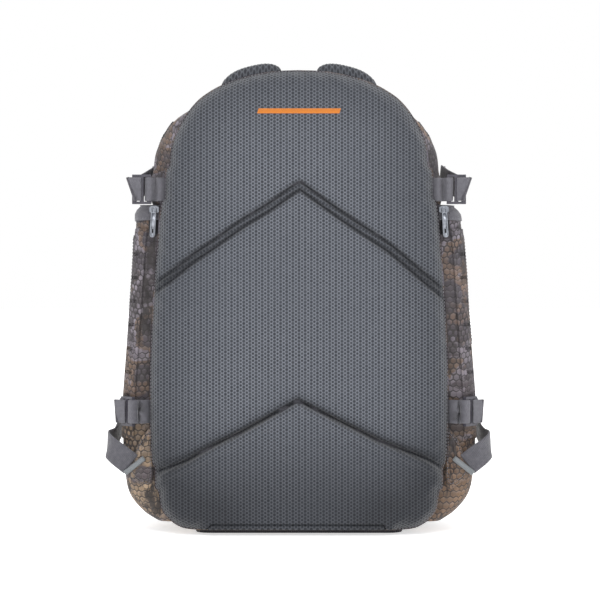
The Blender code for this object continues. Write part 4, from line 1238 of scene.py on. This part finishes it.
POCKET_CURVE = np.array([tuple(p) for p in smooth_path(POCKET_RINGS, 10)])


def pocket_at(z):
    """Distance of the outer face from the middle, and the front end, at a height."""
    return (np.interp(z, POCKET_CURVE[:, 0], POCKET_CURVE[:, 1]),
            np.interp(z, POCKET_CURVE[:, 0], POCKET_CURVE[:, 2]))


def pocket_x(y, z, distance=0.0):
    """How far out the pocket's face is at a depth and height."""
    outer, front = pocket_at(z)
    back_radius, front_radius = 0.016, 0.026
    if y < POCKET_BACK_Y + back_radius:
        share = 1.0 - (y - POCKET_BACK_Y) / back_radius
        return outer - back_radius * (1.0 - math.sqrt(max(0.0, 1.0 - share * share))) + distance
    if y > front - front_radius:
        share = min(1.0, 1.0 - (front - y) / front_radius)
        return outer - 0.020 * (1.0 - math.sqrt(max(0.0, 1.0 - share * share))) + distance
    return outer + distance


def pocket_section(z, distance):
    """Points (x, y) round the pocket at a height, from the back seam to the front seam."""
    outer, front = pocket_at(z)
    back = POCKET_BACK_Y - distance
    outer, front = outer + distance, front + distance
    points = [(POCKET_INNER_X + (outer - 0.016 - POCKET_INNER_X) * k / 8, back) for k in range(8)]
    points += [(outer - 0.016 + 0.016 * math.sin(a), back + 0.016 - 0.016 * math.cos(a))
               for a in (math.pi / 2 * k / 8 for k in range(9))]
    run = front - 0.026 - (back + 0.016)
    points += [(outer, back + 0.016 + run * k / 10) for k in range(1, 10)]
    points += [(outer - 0.020 + 0.020 * math.cos(a), front - 0.026 + 0.026 * math.sin(a))
               for a in (math.pi / 2 * k / 9 for k in range(10))]
    points += [(outer - 0.020 + (POCKET_INNER_X - outer + 0.020) * k / 6, front) for k in range(1, 7)]
    return points


def pocket_work(side, distance):
    """Closed surface of a side pocket as a bmesh, grown by a distance and softened."""
    heights = list(resample([(z, 0.0) for z in (POCKET_RINGS[0][0], POCKET_RINGS[-1][0])], 0.0040)[:, 0])
    rings = [[(side * x, y, z) for x, y in pocket_section(z, distance)] for z in heights]
    for index, shift in ((0, -distance), (-1, distance)):
        edge = [(x, y, z + shift) for x, y, z in rings[index]]
        middle = (side * POCKET_INNER_X, -0.03, edge[0][2])
        caps = [[tuple(m + (p - m) * share for m, p in zip(middle, point)) for point in edge]
                for share in (1.0, 0.7, 0.4, 0.0)]
        rings = list(reversed(caps)) + rings if index == 0 else rings + caps
    mesh = sheet_mesh("pocket_work", soften(np.array(rings)))
    work = bmesh.new()
    work.from_mesh(mesh)
    bpy.data.meshes.remove(mesh)
    bmesh.ops.remove_doubles(work, verts=work.verts, dist=1e-6)
    bmesh.ops.recalc_face_normals(work, faces=work.faces)
    probe = max(work.faces, key=lambda f: side * f.calc_center_median().x)
    if probe.normal.x * side < 0:
        bmesh.ops.reverse_faces(work, faces=work.faces)
    return work


def make_side_pocket(side, name, finishes):
    body = "side_flap_" + name
    gap = CUT_GAP
    work = pocket_work(side, 0.0)
    for y in (FLAP_LOW[0] - gap, FLAP_HIGH[0] + gap):
        slice_work(work, Vector((0, y, 0)), Vector((0, 1, 0)))
    for z in (FLAP_LOW[1] - gap, FLAP_HIGH[1] + gap):
        slice_work(work, Vector((0, 0, z)), Vector((0, 0, 1)))
    drop_faces(work, lambda p: side * p.x > 0.161 and FLAP_LOW[0] - gap < p.y < FLAP_HIGH[0] + gap
               and FLAP_LOW[1] - gap < p.z < FLAP_HIGH[1] + gap)
    pocket = make_piece("side_pocket_fabric_" + name, work_to_mesh(work, "pocket"), finishes["camo"],
                        "root", ["side_pocket_" + name])
    finish_sheet(pocket, 0.0025)
    work = pocket_work(side, 0.0)
    slice_work(work, Vector((side * 0.162, 0, 0)), Vector((side, 0, 0)), "back")
    slice_work(work, Vector((0, FLAP_LOW[0], 0)), Vector((0, 1, 0)), "back")
    slice_work(work, Vector((0, FLAP_HIGH[0], 0)), Vector((0, 1, 0)), "front")
    slice_work(work, Vector((0, 0, FLAP_LOW[1])), Vector((0, 0, 1)), "back")
    slice_work(work, Vector((0, 0, FLAP_HIGH[1])), Vector((0, 0, 1)), "front")
    flap = make_piece("side_flap_fabric_" + name, work_to_mesh(work, "flap"), finishes["camo"], body,
                      [body])
    finish_sheet(flap, 0.0025)

    low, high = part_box("side_slot_panel_" + name)
    holes = [(-0.044, -0.016, 0.2085 + row * 0.025, 0.2120 + row * 0.025) for row in range(4)]
    columns = sorted({low.y, high.y} | {v for hole in holes for v in hole[:2]})
    rows = sorted({low.z, high.z} | {v for hole in holes for v in hole[2:]})
    mesh = grid_with_holes("side_slots_" + name, columns, rows, holes,
                           lambda a, b: (side * pocket_x(a, b, 0.0016), a, b))
    if side < 0:
        mesh.flip_normals()
    sheet = make_piece("side_slots_" + name, mesh, finishes["camo"], body, ["side_slot_panel_" + name])
    finish_sheet(sheet, 0.0012, -1.0)
    tree = surface_of(sheet)
    inset = 0.003
    corners = [(low.y + inset, low.z + inset), (high.y - inset, low.z + inset),
               (high.y - inset, high.z - inset),
               (low.y + inset, high.z - inset), (low.y + inset, low.z + inset)]
    runs = []
    inward = Vector((-side, 0, 0))
    for (ay, az), (by, bz) in zip(corners, corners[1:]):
        line = [(side * BESIDE_X, ay + (by - ay) * k / 40, az + (bz - az) * k / 40) for k in range(41)]
        runs.append(cling(line, tree, inward))
    for hole in holes:
        for y in (hole[0] - 0.003, hole[1] + 0.003):
            for offset in (-0.0011, 0.0, 0.0011):
                line = [(side * BESIDE_X, y + offset, z) for z in tack_heights(hole[2])]
                runs.append(cling(line, tree, inward))
    make_piece("side_slot_stitches_" + name, stitch_mesh("side_slot_stitches",
                                                         [r for r in runs if len(r) > 1]),
               finishes["thread"], body)

    work = pocket_work(side, 0.0013)
    slice_work(work, Vector((0, 0, CAP_Z)), Vector((0, 0, 1)), "back")
    slice_work(work, Vector((side * 0.1435, 0, 0)), Vector((side, 0, 0)), "back")
    cap = make_piece("side_cap_webbing_" + name, work_to_mesh(work, "cap"), finishes["webbing"], "root",
                     ["side_cap_" + name])
    box_map(cap.data)
    finish_sheet(cap, 0.0012)
    line = [(side * x, -0.15, CAP_Z + 0.0022) for x in np.linspace(0.146, 0.172, 14)]
    run = cling(line, surface_of(cap), Vector((0, 1, 0)))
    make_piece("side_cap_stitches_" + name, stitch_mesh("side_cap_stitches", [run]), finishes["thread"],
               "root")
    heights = np.linspace(0.3390, 0.3160, 14)
    line = [Vector((side * (0.1545 - 0.02 * (0.339 - z)), POCKET_BACK_Y - 0.0002, z)) for z in heights]
    backward = Vector((0, -1, 0))
    make_piece("side_zip_coil_" + name, tooth_row("coil", [(p, backward) for p in line], 0.0036, 0.0010),
               finishes["coil"], "root")
    tape = np.array([[(p.x + a, p.y - 0.0001 + 0.0002 * abs(a) / 0.006, p.z)
                      for a in (-0.005, -0.002, 0.002, 0.005)]
                     for p in line])
    tape_piece = make_piece("side_zip_tape_" + name, outward(sheet_mesh("tape", tape)), finishes["tape"],
                            "root")
    finish_sheet(tape_piece, 0.0005, 0.0)
    make_corner_slots(side, name, finishes)
    return pocket


def make_corner_slots(side, name, finishes):
    """Slotted sheet on the pocket's rounded back corner, in line with the rows on its flap."""
    radius, lift = 0.016, 0.0010

    def place(angle, z):
        outer = pocket_at(z)[0]
        reach = radius + lift
        return (side * (outer - radius + reach * math.sin(angle)),
                POCKET_BACK_Y + radius - reach * math.cos(angle), z)

    low, high = 0.15, 1.16
    slot_low, slot_high = 0.50, 1.08
    rows = [0.1185 + 0.025 * k for k in range(8)]
    holes = [(slot_low, slot_high, z, z + 0.0036) for z in rows]
    lines = sorted({0.100, 0.322} | {v for hole in holes for v in hole[2:]})
    mesh = grid_with_holes("corner", [low, slot_low, slot_high, high], lines, holes, place, 0.12)
    rows_between = bmesh.new()
    rows_between.from_mesh(mesh)
    long_edges = [e for e in rows_between.edges if e.calc_length() > 0.006]
    bmesh.ops.subdivide_edges(rows_between, edges=long_edges, cuts=2, use_grid_fill=True)
    rows_between.to_mesh(mesh)
    rows_between.free()
    if side > 0:
        mesh.flip_normals()
    piece = make_piece("corner_slots_" + name, mesh, finishes["camo"], "root")
    finish_sheet(piece, 0.0012, -1.0)
    runs = []
    for z in rows:
        for angle in (slot_low - 0.09, slot_high + 0.05):
            facing = Vector((side * math.sin(angle), -math.cos(angle), 0))
            runs.append([(Vector(place(angle, height)), facing) for height in tack_heights(z)])
        runs.append([(Vector(place(low + (high - low) * k / 12, z - 0.0060)),
                      Vector((side * math.sin(low + (high - low) * k / 12), -1, 0))) for k in range(13)])
    make_piece("corner_slot_stitches_" + name,
               stitch_mesh("corner_stitches", runs, 0.0030, 0.0021, 0.00038, 0.0004),
               finishes["thread"], "root")


def box_map(mesh):
    """A UV map in metres that follows the surface's main direction."""
    layer = mesh.uv_layers.new(name="UVMap")
    for polygon in mesh.polygons:
        for loop in polygon.loop_indices:
            point = mesh.vertices[mesh.loops[loop].vertex_index].co
            flat = abs(polygon.normal.y) > abs(polygon.normal.x)
            layer.data[loop].uv = (point.z, point.x if flat else point.y)


# ---------------------------------------------------------------- webbing and hardware

def mirror_points(side, points):
    return [(side * x, y, z) for x, y, z in points]


def upright(ahead, facing):
    """True if a ribbon's width direction points up."""
    return ahead.cross(facing).z > 0.0


def make_compression(side, name, level, finishes):
    """Looped tab round the lock's bar, the free tail that rides on the lock, and the strap behind it."""
    places = COMPRESSION[level]
    label = level + "_" + name
    lock = Vector(mirror_points(side, [places["lock"]])[0])
    along = Vector(mirror_points(side, [places["along"]])[0]).normalized()
    facing = Vector((along.y, -along.x, 0.0)) * side
    tab = Vector(mirror_points(side, [places["tab"]])[0])
    bar = lock + along * (LOCK_BAR / 2)
    radius = 0.0038
    seam = tab - along * 0.0085
    seam.y = PAD_FRONT_Y + 0.0004
    dip = bar - along * (radius + 0.0026) - facing * 0.0040
    angles = [math.radians(-70 + 280 * k / 10) for k in range(11)]
    turn = [facing * math.cos(angle) + along * math.sin(angle) for angle in angles]
    loop = [seam, bar - along * (radius + 0.0062) + facing * 0.0002, dip]
    loop += [bar + out * radius for out in turn]
    loop += [dip - facing * 0.0014, seam + Vector((0, 0.0014, 0))]
    normals = [facing, (facing + along * 0.4).normalized(), (facing - along * 0.2).normalized()] + turn
    normals += [-facing, -facing]
    mesh = ribbon_mesh("tab", loop, normals, WEBBING, 0.0015, 3)
    make_piece("tab_webbing_" + label, outward(mesh), finishes["webbing"], "root", ["tab_" + label])
    tail_start = lock + along * 0.0102 + facing * 0.0030
    tail_end = lock + along * (0.016 + places["tail"]) + facing * 0.0064
    bend = lock + along * 0.0165 + facing * 0.0050
    lean = 0.0042 if level == "upper" else 0.0015
    mesh = ribbon_mesh("tail", [tail_start, bend, tail_end], [facing, facing, facing], WEBBING, 0.0016, 5,
                       skew=lean * (1 if upright(tail_end - tail_start, facing) else -1), crown=0.0008)
    make_piece("tail_webbing_" + label, outward(mesh), finishes["webbing"], "lock_" + label,
               ["tail_" + label])
    hem = tube_mesh("hem", [tail_end + Vector((0, 0, s * 0.0122)) + along * (s * lean)
                            for s in np.linspace(-1, 1, 9)], 0.0017, 10)
    make_piece("tail_hem_" + label, outward(hem), finishes["webbing_dark"], "lock_" + label)
    route = [Vector(point) for point in mirror_points(side, places["strap"])]
    for index, point in enumerate(route):
        point.x += side * shoulder_bulge(*point) * 0.1 * index / (len(route) - 1)
    mesh = ribbon_mesh("strap", route, mirror_points(side, places["normals"]), WEBBING, WEBBING_THICKNESS,
                       6, crown=0.0004)
    make_piece("compression_webbing_" + label, outward(mesh), finishes["webbing_dark"], "root",
               ["compression_" + label])
    look = places["normals"][-1]
    tack_box(route[-1], Vector(mirror_points(side, [look])[0]).normalized(), "compression_tack_" + label,
             finishes)


def tack_box(spot, look, name, finishes):
    """Box-and-cross stitching at a sewn end of webbing."""
    across = Vector((0, 0, 1))
    back = look.cross(across).normalized()
    if back.y > 0:
        back = -back
    low, high, half = 0.002, 0.014, 0.0095
    lift = look * (WEBBING_THICKNESS / 2 + 0.0004)
    corner = [spot + back * b + across * a + lift
              for b, a in ((low, -half), (high, -half), (high, half), (low, half))]
    pairs = [(0, 1), (1, 2), (2, 3), (3, 0), (0, 2), (1, 3)]
    runs = [[(corner[a].lerp(corner[b], k / 6), look) for k in range(7)] for a, b in pairs]
    make_piece(name, stitch_mesh(name, runs, 0.0024, 0.0018, 0.00036), finishes["thread"], "root")


def make_lower_webbing(side, name, finishes):
    mesh = ribbon_mesh("lower", mirror_points(side, LOWER_ROUTE), mirror_points(side, LOWER_NORMALS),
                       WEBBING, WEBBING_THICKNESS, 8, crown=0.0003)
    make_piece("strap_webbing_fabric_" + name, outward(mesh), finishes["strap_webbing"], "root",
               ["strap_webbing_" + name])
    outline = [(0.1560, 0.1130), (0.1580, 0.0480), (0.1700, 0.0545), (0.1770, 0.0610), (0.1755, 0.0720),
               (0.1725, 0.0860), (0.1660, 0.1010)]
    centre = np.array([0.1650, 0.0780])
    rim = np.array([tuple(p)[:2] for p in smooth_path([(x, z, 0) for x, z in outline + outline[:1]],
                                                      6)])[:-1]
    rings = []
    for share, y in ((0.55, -0.0788), (1.0, -0.0790), (1.03, -0.0802), (0.98, -0.0814), (0.86, -0.0821),
                     (0.6, -0.0827), (0.3, -0.0829), (0.0, -0.0830)):
        ring = centre + (rim - centre) * share
        rings.append([(side * x, y + 0.0003 * math.sin(z * 900.0), z) for x, z in ring])
    mesh = weld(sheet_mesh("wing", np.array(rings), None, True))
    make_piece("wing_fabric_" + name, mesh, finishes["camo"], "root", ["wing_" + name])
    start, end = Vector((side * 0.1630, -0.0838, 0.0800)), Vector((side * 0.1835, -0.0848, 0.0640))
    points = [start.lerp(end, k / 10) for k in range(11)]
    mesh = tube_mesh("hem", points, 0.0029, 12)
    make_piece("wing_hem_" + name, outward(mesh), finishes["hem"], "root")
    shrunk = centre + (rim - centre) * 0.84
    run = [(Vector((side * x, -0.0823, z)), Vector((0, -1, 0))) for x, z in shrunk]
    make_piece("wing_stitches_" + name, stitch_mesh("wing_stitches", [run + run[:1]], 0.003, 0.002,
                                                    0.00036),
               finishes["thread"], "root")


def stadium(width, length, steps=8):
    """Closed rounded-end outline hanging from the origin along -Z, as (x, z)."""
    radius = width / 2
    points = [(radius * math.cos(a), -radius + radius * math.sin(a))
              for a in np.linspace(0, math.pi, steps)]
    points += [(-radius * math.cos(a), -length + radius - radius * math.sin(a))
               for a in np.linspace(0, math.pi, steps)]
    return points


def make_pull(name, body, node, pivot, hang, facing, length, finishes):
    """Long rounded zip pull: raised rim, recessed middle, window near its end, and a bracket at its top."""
    hang, facing = Vector(hang).normalized(), Vector(facing).normalized()
    across = hang.cross(facing).normalized()

    def put(x, y, z):
        return pivot + across * x + facing * y - hang * z

    width, rim = 0.0062, 0.0008
    outline = stadium(width - 2 * rim, length - 0.004)
    rim_points = [put(x, 0.0, z - 0.003) for x, z in outline]
    fine = [Vector(p) for p in resample(rim_points + rim_points[:1], 0.0011)[:-1]]
    parts = [tube_mesh("rim", fine, rim, 8, True)]
    window = [(x * 0.52, -length + 0.0072 + (z + 0.0045) * 0.62)
              for x, z in stadium(width - 2 * rim, 0.009)]
    outer = [(x, z - 0.003) for x, z in outline]
    rings = []
    for depth, loop in ((-0.0004, outer), (0.0004, outer), (0.0004, window), (-0.0004, window),
                        (-0.0004, outer)):
        rings.append([tuple(put(x, depth, z)) for x, z in loop])
    parts.append(weld(sheet_mesh("plate", np.array(rings), None, True)))
    edge = [put(x, 0.0, z) for x, z in window]
    parts.append(tube_mesh("edge", edge, 0.00055, 6, True))
    staple = [put(x, y, z) for x, y, z in ((-0.0022, 0.0, -0.0040), (-0.0021, 0.0, 0.0004),
                                           (-0.0009, 0.0002, 0.0016),
                                         (0.0009, 0.0002, 0.0016), (0.0021, 0.0, 0.0004),
                                           (0.0022, 0.0, -0.0040))]
    parts.append(tube_mesh("staple", smooth_path(staple, 4), 0.0007, 8))
    mesh = outward(join_meshes(name, parts))
    make_piece(name, mesh, finishes["metal"], body, [node])


def make_pulls(finishes):
    for side, name in SIDES:
        make_pull("side_pull_metal_" + name, "side_pull_" + name, "side_zip_" + name + "_pull",
                  Vector((side * 0.1530, -0.0826, 0.3420)), (side * 0.06, 0, -1), (0, -1, 0), 0.030,
                  finishes)
    for node, body, length in (("lid_zip_pull", "lid_pull", 0.026), ("door_zip_pull", "door_pull", 0.024)):
        low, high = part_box(node)
        pivot = Vector(((low.x + high.x) / 2, (low.y + high.y) / 2, high.z))
        make_pull(node + "_metal", body, node, pivot, (0, 0, -1), (0, 1, 0), length, finishes)


# ---------------------------------------------------------------- shoulder straps

def arch_over(x):
    """Height of the back panel's rim above a distance from the middle."""
    upper = OUTLINE[(OUTLINE[:, 0] >= 0) & (OUTLINE[:, 1] > 0.16)]
    order = np.argsort(upper[:, 0])
    return np.interp(abs(x), upper[order, 0], upper[order, 1])


def lid_height(x, y):
    """Height of the shell's top over a point of the floor plane."""
    rings = SHELL_RINGS
    for (y_near, width_near, top_near), (y_far, width_far, top_far) in zip(rings, rings[1:]):
        if y_near <= y <= y_far:
            share = (y - y_near) / (y_far - y_near)
            width = width_near + (width_far - width_near) * share
            top = top_near + (top_far - top_near) * share
            return SHELL_BOTTOM + (arch_over(x / width)
                                   - PANEL_BOTTOM) * (top - SHELL_BOTTOM) / (PANEL_TOP - PANEL_BOTTOM)
    raise ValueError("outside the shell")


def strap_frames(side):
    spots = []
    for y, x, sag in STRAP_LINE:
        slope_x = (lid_height(x + 0.012, y) - lid_height(x - 0.012, y)) / 0.024
        slope_y = (lid_height(x, y + 0.002) - lid_height(x, y - 0.002)) / 0.004
        normal = Vector((-slope_x, -slope_y, 1.0)).normalized()
        spots.append((Vector((x, y, lid_height(x, y))) + normal * STRAP_CLEARANCE, normal, sag))
    path = smooth_path([spot for spot, _, _ in spots], 16)
    frames = []
    for index, point in enumerate(path):
        span = min(index // 16, len(spots) - 2)
        share = index / 16 - span
        normal = spots[span][1].lerp(spots[span + 1][1], share)
        sag = spots[span][2] + (spots[span + 1][2] - spots[span][2]) * share
        ahead = (path[min(index + 1, len(path) - 1)] - path[max(index - 1, 0)]).normalized()
        across = ahead.cross(normal).normalized()
        if across.x < 0:
            across = -across
        normal = across.cross(ahead)
        if normal.z < 0:
            normal = -normal
        frames.append(([Vector((side * v.x, v.y, v.z)) for v in (point, ahead, across, normal)], sag))
    return frames


def strap_section(half, count=58):
    """Closed section of the strap as (across, height): crowned on top, flat below."""
    top = []
    for k in range(count + 1):
        share = -1 + 2 * k / count
        top.append((share * half, STRAP_THICKNESS * (0.30 + 0.70 * (1 - abs(share) ** 3.4) ** 0.75)))
    under = [(half * s, h) for s, h in ((1.005, 0.0022), (0.97, 0.0004), (0.5, 0.0), (0.0, 0.0),
                                        (-0.5, 0.0), (-0.97, 0.0004), (-1.005, 0.0022))]
    return top + under


def cell_relief(across, along):
    """Depth of the strap's mesh cells at a place on it."""
    return -CELL_DEPTH * math.cos(2 * math.pi * across / CELL) * math.cos(
        2 * math.pi * along / (CELL * math.sqrt(3.0)))


def make_shoulder_strap(side, name, finishes):
    """Padded strap with its two bindings, with its root and its lower end."""
    frames = strap_frames(side)
    section = strap_section(STRAP_HALF_WIDTH)
    rings, uvs, shades = [], [], []
    travelled = 0.0
    last = frames[0][0][0]
    for index, ((spot, _, across, normal), sag) in enumerate(frames):
        travelled += (spot - last).length
        last = spot
        channel = 0.0014 * math.exp(-((travelled % 0.062 - 0.031) / 0.0035) ** 2)
        end = max(0.0, 1.0 - (len(frames) - 1 - index) / 6.0)
        ring, uv, shade = [], [], []
        for a, h in section:
            share = a / STRAP_HALF_WIDTH
            top = 1.0 if h > 0.003 else 0.0
            relief = cell_relief(a, travelled)
            height = h * (1.0 - 0.45 * end) - top * channel * (1 - share ** 4) + top * relief * (1
                                                                                                 - share ** 8)
            ring.append(tuple(spot + across * a + normal * (height - sag * share * share)))
            uv.append((a, travelled))
            shade.append(0.30 * abs(share) ** 8 + 0.45 * top * channel / 0.0014)
        rings.append(ring)
        uvs.append(uv)
        shades.append(shade)
    mesh = outward(sheet_mesh("strap", np.array(rings), np.array(uvs), True, True))
    add_shade(mesh, np.clip(np.array(shades), 0, 1))
    strap = make_piece("shoulder_strap_" + name, mesh, finishes["mesh"], None,
                       ["shoulder_upper_" + name, "shoulder_lower_" + name])
    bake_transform(strap)
    for edge, label in ((-1, "inner"), (1, "outer")):
        points = [spot + across * (edge * (STRAP_HALF_WIDTH + 0.0002)) + normal * (0.0030 - sag)
                  for (spot, _, across, normal), sag in frames[1:-1]]
        mesh = outward(tube_mesh("binding", points, 0.0021, 10, False, 1.1))
        binding = make_piece("strap_binding_" + label + "_" + name, mesh, finishes["binding"], None)
        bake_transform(binding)
    make_yoke(side, name, frames[0], finishes)
    make_strap_end(name, frames[-1], finishes)


def make_yoke(side, name, first, finishes):
    """The strap's root: it leaves the back seam, rises over the arch and meets the strap at its hinge."""
    (spot, _, across, _), sag = first
    section = strap_section(STRAP_HALF_WIDTH, 46)
    rings, uvs, shades = [], [], []
    count = 18
    for step in range(count + 1):
        share = step / count
        y = YOKE_BACK_Y + (spot.y - 0.0006 - YOKE_BACK_Y) * share
        full = min(1.0, share / 0.22)
        ring, uv, shade = [], [], []
        for a, h in section:
            x = side * abs(spot.x) + a * across.x
            crest = arch_over(x) + 0.0008 - 0.0090 * (1.0 - full) ** 2
            tilt = spot.z + across.z * a - sag * (a / STRAP_HALF_WIDTH) ** 2
            settle = ease(share, 0.25, 1.0)
            z = crest * (1 - settle) + tilt * settle + h * (0.35 + 0.65 * math.sqrt(full))
            relief = cell_relief(a, y) if h > 0.003 else 0.0
            ring.append((x, y, z + relief))
            uv.append((a, y))
            shade.append(0.70 * (1.0 - ease(share, 0.3, 1.0)) + 0.30 * abs(a / STRAP_HALF_WIDTH) ** 8)
        rings.append(ring)
        uvs.append(uv)
        shades.append(shade)
    mesh = outward(sheet_mesh("yoke", np.array(rings), np.array(uvs), True, True))
    add_shade(mesh, np.clip(np.array(shades), 0, 1))
    yoke = make_piece("strap_yoke_" + name, mesh, finishes["mesh"], None)
    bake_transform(yoke)


def make_strap_end(name, last, finishes):
    """Webbing tail through the lock at the strap's end, and the webbing that holds the lock."""
    (spot, ahead, across, normal), _ = last
    lock_start = spot + ahead * 0.0030 + normal * 0.0025
    along = (ahead + 0.12 * across).normalized()
    points = [lock_start + along * 0.0105 + normal * 0.0030, lock_start + along * 0.018 + normal * 0.0036,
              lock_start + along * 0.030 + normal * 0.0052, lock_start + along * 0.036 + normal * 0.0040]
    mesh = ribbon_mesh("tail", points, [normal] * 4, WEBBING, 0.0016, 5, crown=0.0004)
    make_piece("strap_tail_webbing_" + name, outward(mesh), finishes["webbing"], "strap_lock_" + name,
               ["strap_tail_" + name])
    points = [spot - ahead * 0.018 + normal * 0.0105, spot - ahead * 0.006 + normal * 0.0085,
              spot + ahead * 0.0020 + normal * 0.0062]
    mesh = ribbon_mesh("anchor", points, [normal] * 3, WEBBING, 0.0016, 5, crown=0.0003)
    make_piece("strap_anchor_" + name, outward(mesh), finishes["webbing_dark"], "shoulder_lower_" + name)


def make_haul_loop(finishes):
    """Loop of webbing lying forward between the straps."""
    low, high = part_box("haul_loop")
    middle, half = (low.z + high.z) / 2, (high.z - low.z) / 2 - 0.0010
    points = [(0, -0.0495, middle + half * 0.7), (0, -0.030, middle + half * 0.9),
              (0, 0.000, middle + half * 0.55),
              (0, 0.0060, middle + half * 0.35), (0, 0.0078, middle - half * 0.15),
              (0, 0.0055, middle - half * 0.62),
              (0, -0.004, middle - half * 0.75), (0, -0.030, middle - half * 0.45),
              (0, -0.0495, middle - half * 0.25)]
    normals = [(0, 0, 1), (0, 0, 1), (0, 0.15, 1), (0, 0.7, 0.7), (0, 1, 0), (0, 0.7, -0.7), (0, 0, -1),
               (0, 0, -1), (0, 0, -1)]
    mesh = ribbon_mesh("haul", points, normals, WEBBING, 0.0016, 6, crown=0.0003)
    make_piece("haul_loop_webbing", outward(mesh), finishes["webbing"], "haul_loop", ["haul_loop"])


# ---------------------------------------------------------------- kept CAD pieces

def dress_nodes(finishes):
    """Gives each CAD node that stays in view its finish and rounded edges."""
    kept = {"base_panel": ("base", 0.0008), "frame_sheet": ("plastic", 0.0004),
            "mid_divider": ("lining", 0.0006)}
    for _, name in SIDES:
        for lock in ("lock_upper_", "lock_lower_", "strap_lock_"):
            kept[lock + name] = ("buckle", 0.0009)
        kept["sternum_half_" + name] = ("buckle", 0.0004)
        kept["side_zip_" + name + "_slider"] = ("metal", 0.0006)
    kept["lid_zip_slider"] = ("metal", 0.0006)
    kept["door_zip_slider"] = ("metal", 0.0006)
    for node, (finish, width) in kept.items():
        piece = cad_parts[node]
        piece.data.materials.clear()
        piece.data.materials.append(finishes[finish])
        bevel = piece.modifiers.new("rounded", "BEVEL")
        bevel.width = width
        bevel.segments = 3
        bevel.limit_method = "ANGLE"
        bevel.angle_limit = math.radians(32)
        bevel.harden_normals = True


# ---------------------------------------------------------------- stage

def plain(name, colour, glow):
    """A smooth material for the stage."""
    material = bpy.data.materials.new(name)
    material.use_nodes = True
    shader = material.node_tree.nodes["Principled BSDF"]
    shader.inputs["Base Color"].default_value = colour
    shader.inputs["Roughness"].default_value = 0.9
    shader.inputs["Specular IOR Level"].default_value = 0.1
    shader.inputs["Emission Color"].default_value = (1.0, 1.0, 1.0, 1.0)
    shader.inputs["Emission Strength"].default_value = glow
    return material


def area_light(name, place, target, size, power):
    light = bpy.data.lights.new(name, "AREA")
    light.shape = "RECTANGLE"
    light.size, light.size_y = size
    light.energy = power
    lamp = bpy.data.objects.new(name, light)
    bpy.context.scene.collection.objects.link(lamp)
    lamp.location = place
    lamp.rotation_euler = (Vector(target) - Vector(place)).to_track_quat("-Z", "Y").to_euler()


def make_stage():
    reach = 40.0
    points = np.array([[(x, y, -0.0002) for x in (-reach, reach)] for y in (-reach, reach)])
    mesh = outward(sheet_mesh("floor", points))
    floor = bpy.data.objects.new("floor", mesh)
    bpy.context.scene.collection.objects.link(floor)
    mesh.shade_smooth()
    mesh.materials.append(plain("paper_white", (0.93, 0.93, 0.93, 1.0), 0.55))
    world = bpy.data.worlds.new("studio")
    bpy.context.scene.world = world
    world.use_nodes = True
    world.node_tree.nodes["Background"].inputs[0].default_value = (1.0, 1.0, 1.0, 1.0)
    world.node_tree.nodes["Background"].inputs[1].default_value = 1.0
    area_light("key", (-0.15, -1.15, 1.45), (0, 0, 0.34), (0.9, 0.7), 8.0)
    area_light("top", (0.3, 0.1, 1.9), (0, 0, 0.3), (1.4, 1.4), 6.0)
    area_light("fill", (1.6, -1.3, 0.7), (0, 0, 0.25), (1.0, 1.2), 2.0)
    area_light("back", (-0.4, 2.2, 1.2), (0, 0, 0.25), (1.4, 1.2), 4.0)
    camera = bpy.data.objects.new("camera", bpy.data.cameras.new("camera"))
    bpy.context.scene.collection.objects.link(camera)
    camera.data.sensor_width = 36.0
    camera.data.lens = 100.0
    camera.location = (0.001, -1.84, PANEL_MIDDLE_Z)
    camera.rotation_euler = (math.pi / 2, 0, 0)
    bpy.context.scene.camera = camera
    bpy.context.scene.view_settings.view_transform = "Standard"


# ---------------------------------------------------------------- all together

def build():
    make_stage()
    finishes = make_finishes()
    door = make_shell(finishes)
    make_zip_tapes(finishes)
    make_door_details(finishes, door)
    make_front_piping(finishes)
    cover = make_back_pad(finishes)
    make_binding_piping(finishes)
    make_orange_bar(finishes, cover)
    for side, name in SIDES:
        make_side_pocket(side, name, finishes)
        for level in ("upper", "lower"):
            make_compression(side, name, level, finishes)
        make_lower_webbing(side, name, finishes)
        make_shoulder_strap(side, name, finishes)
    make_haul_loop(finishes)
    make_pulls(finishes)
    dress_nodes(finishes)


build()
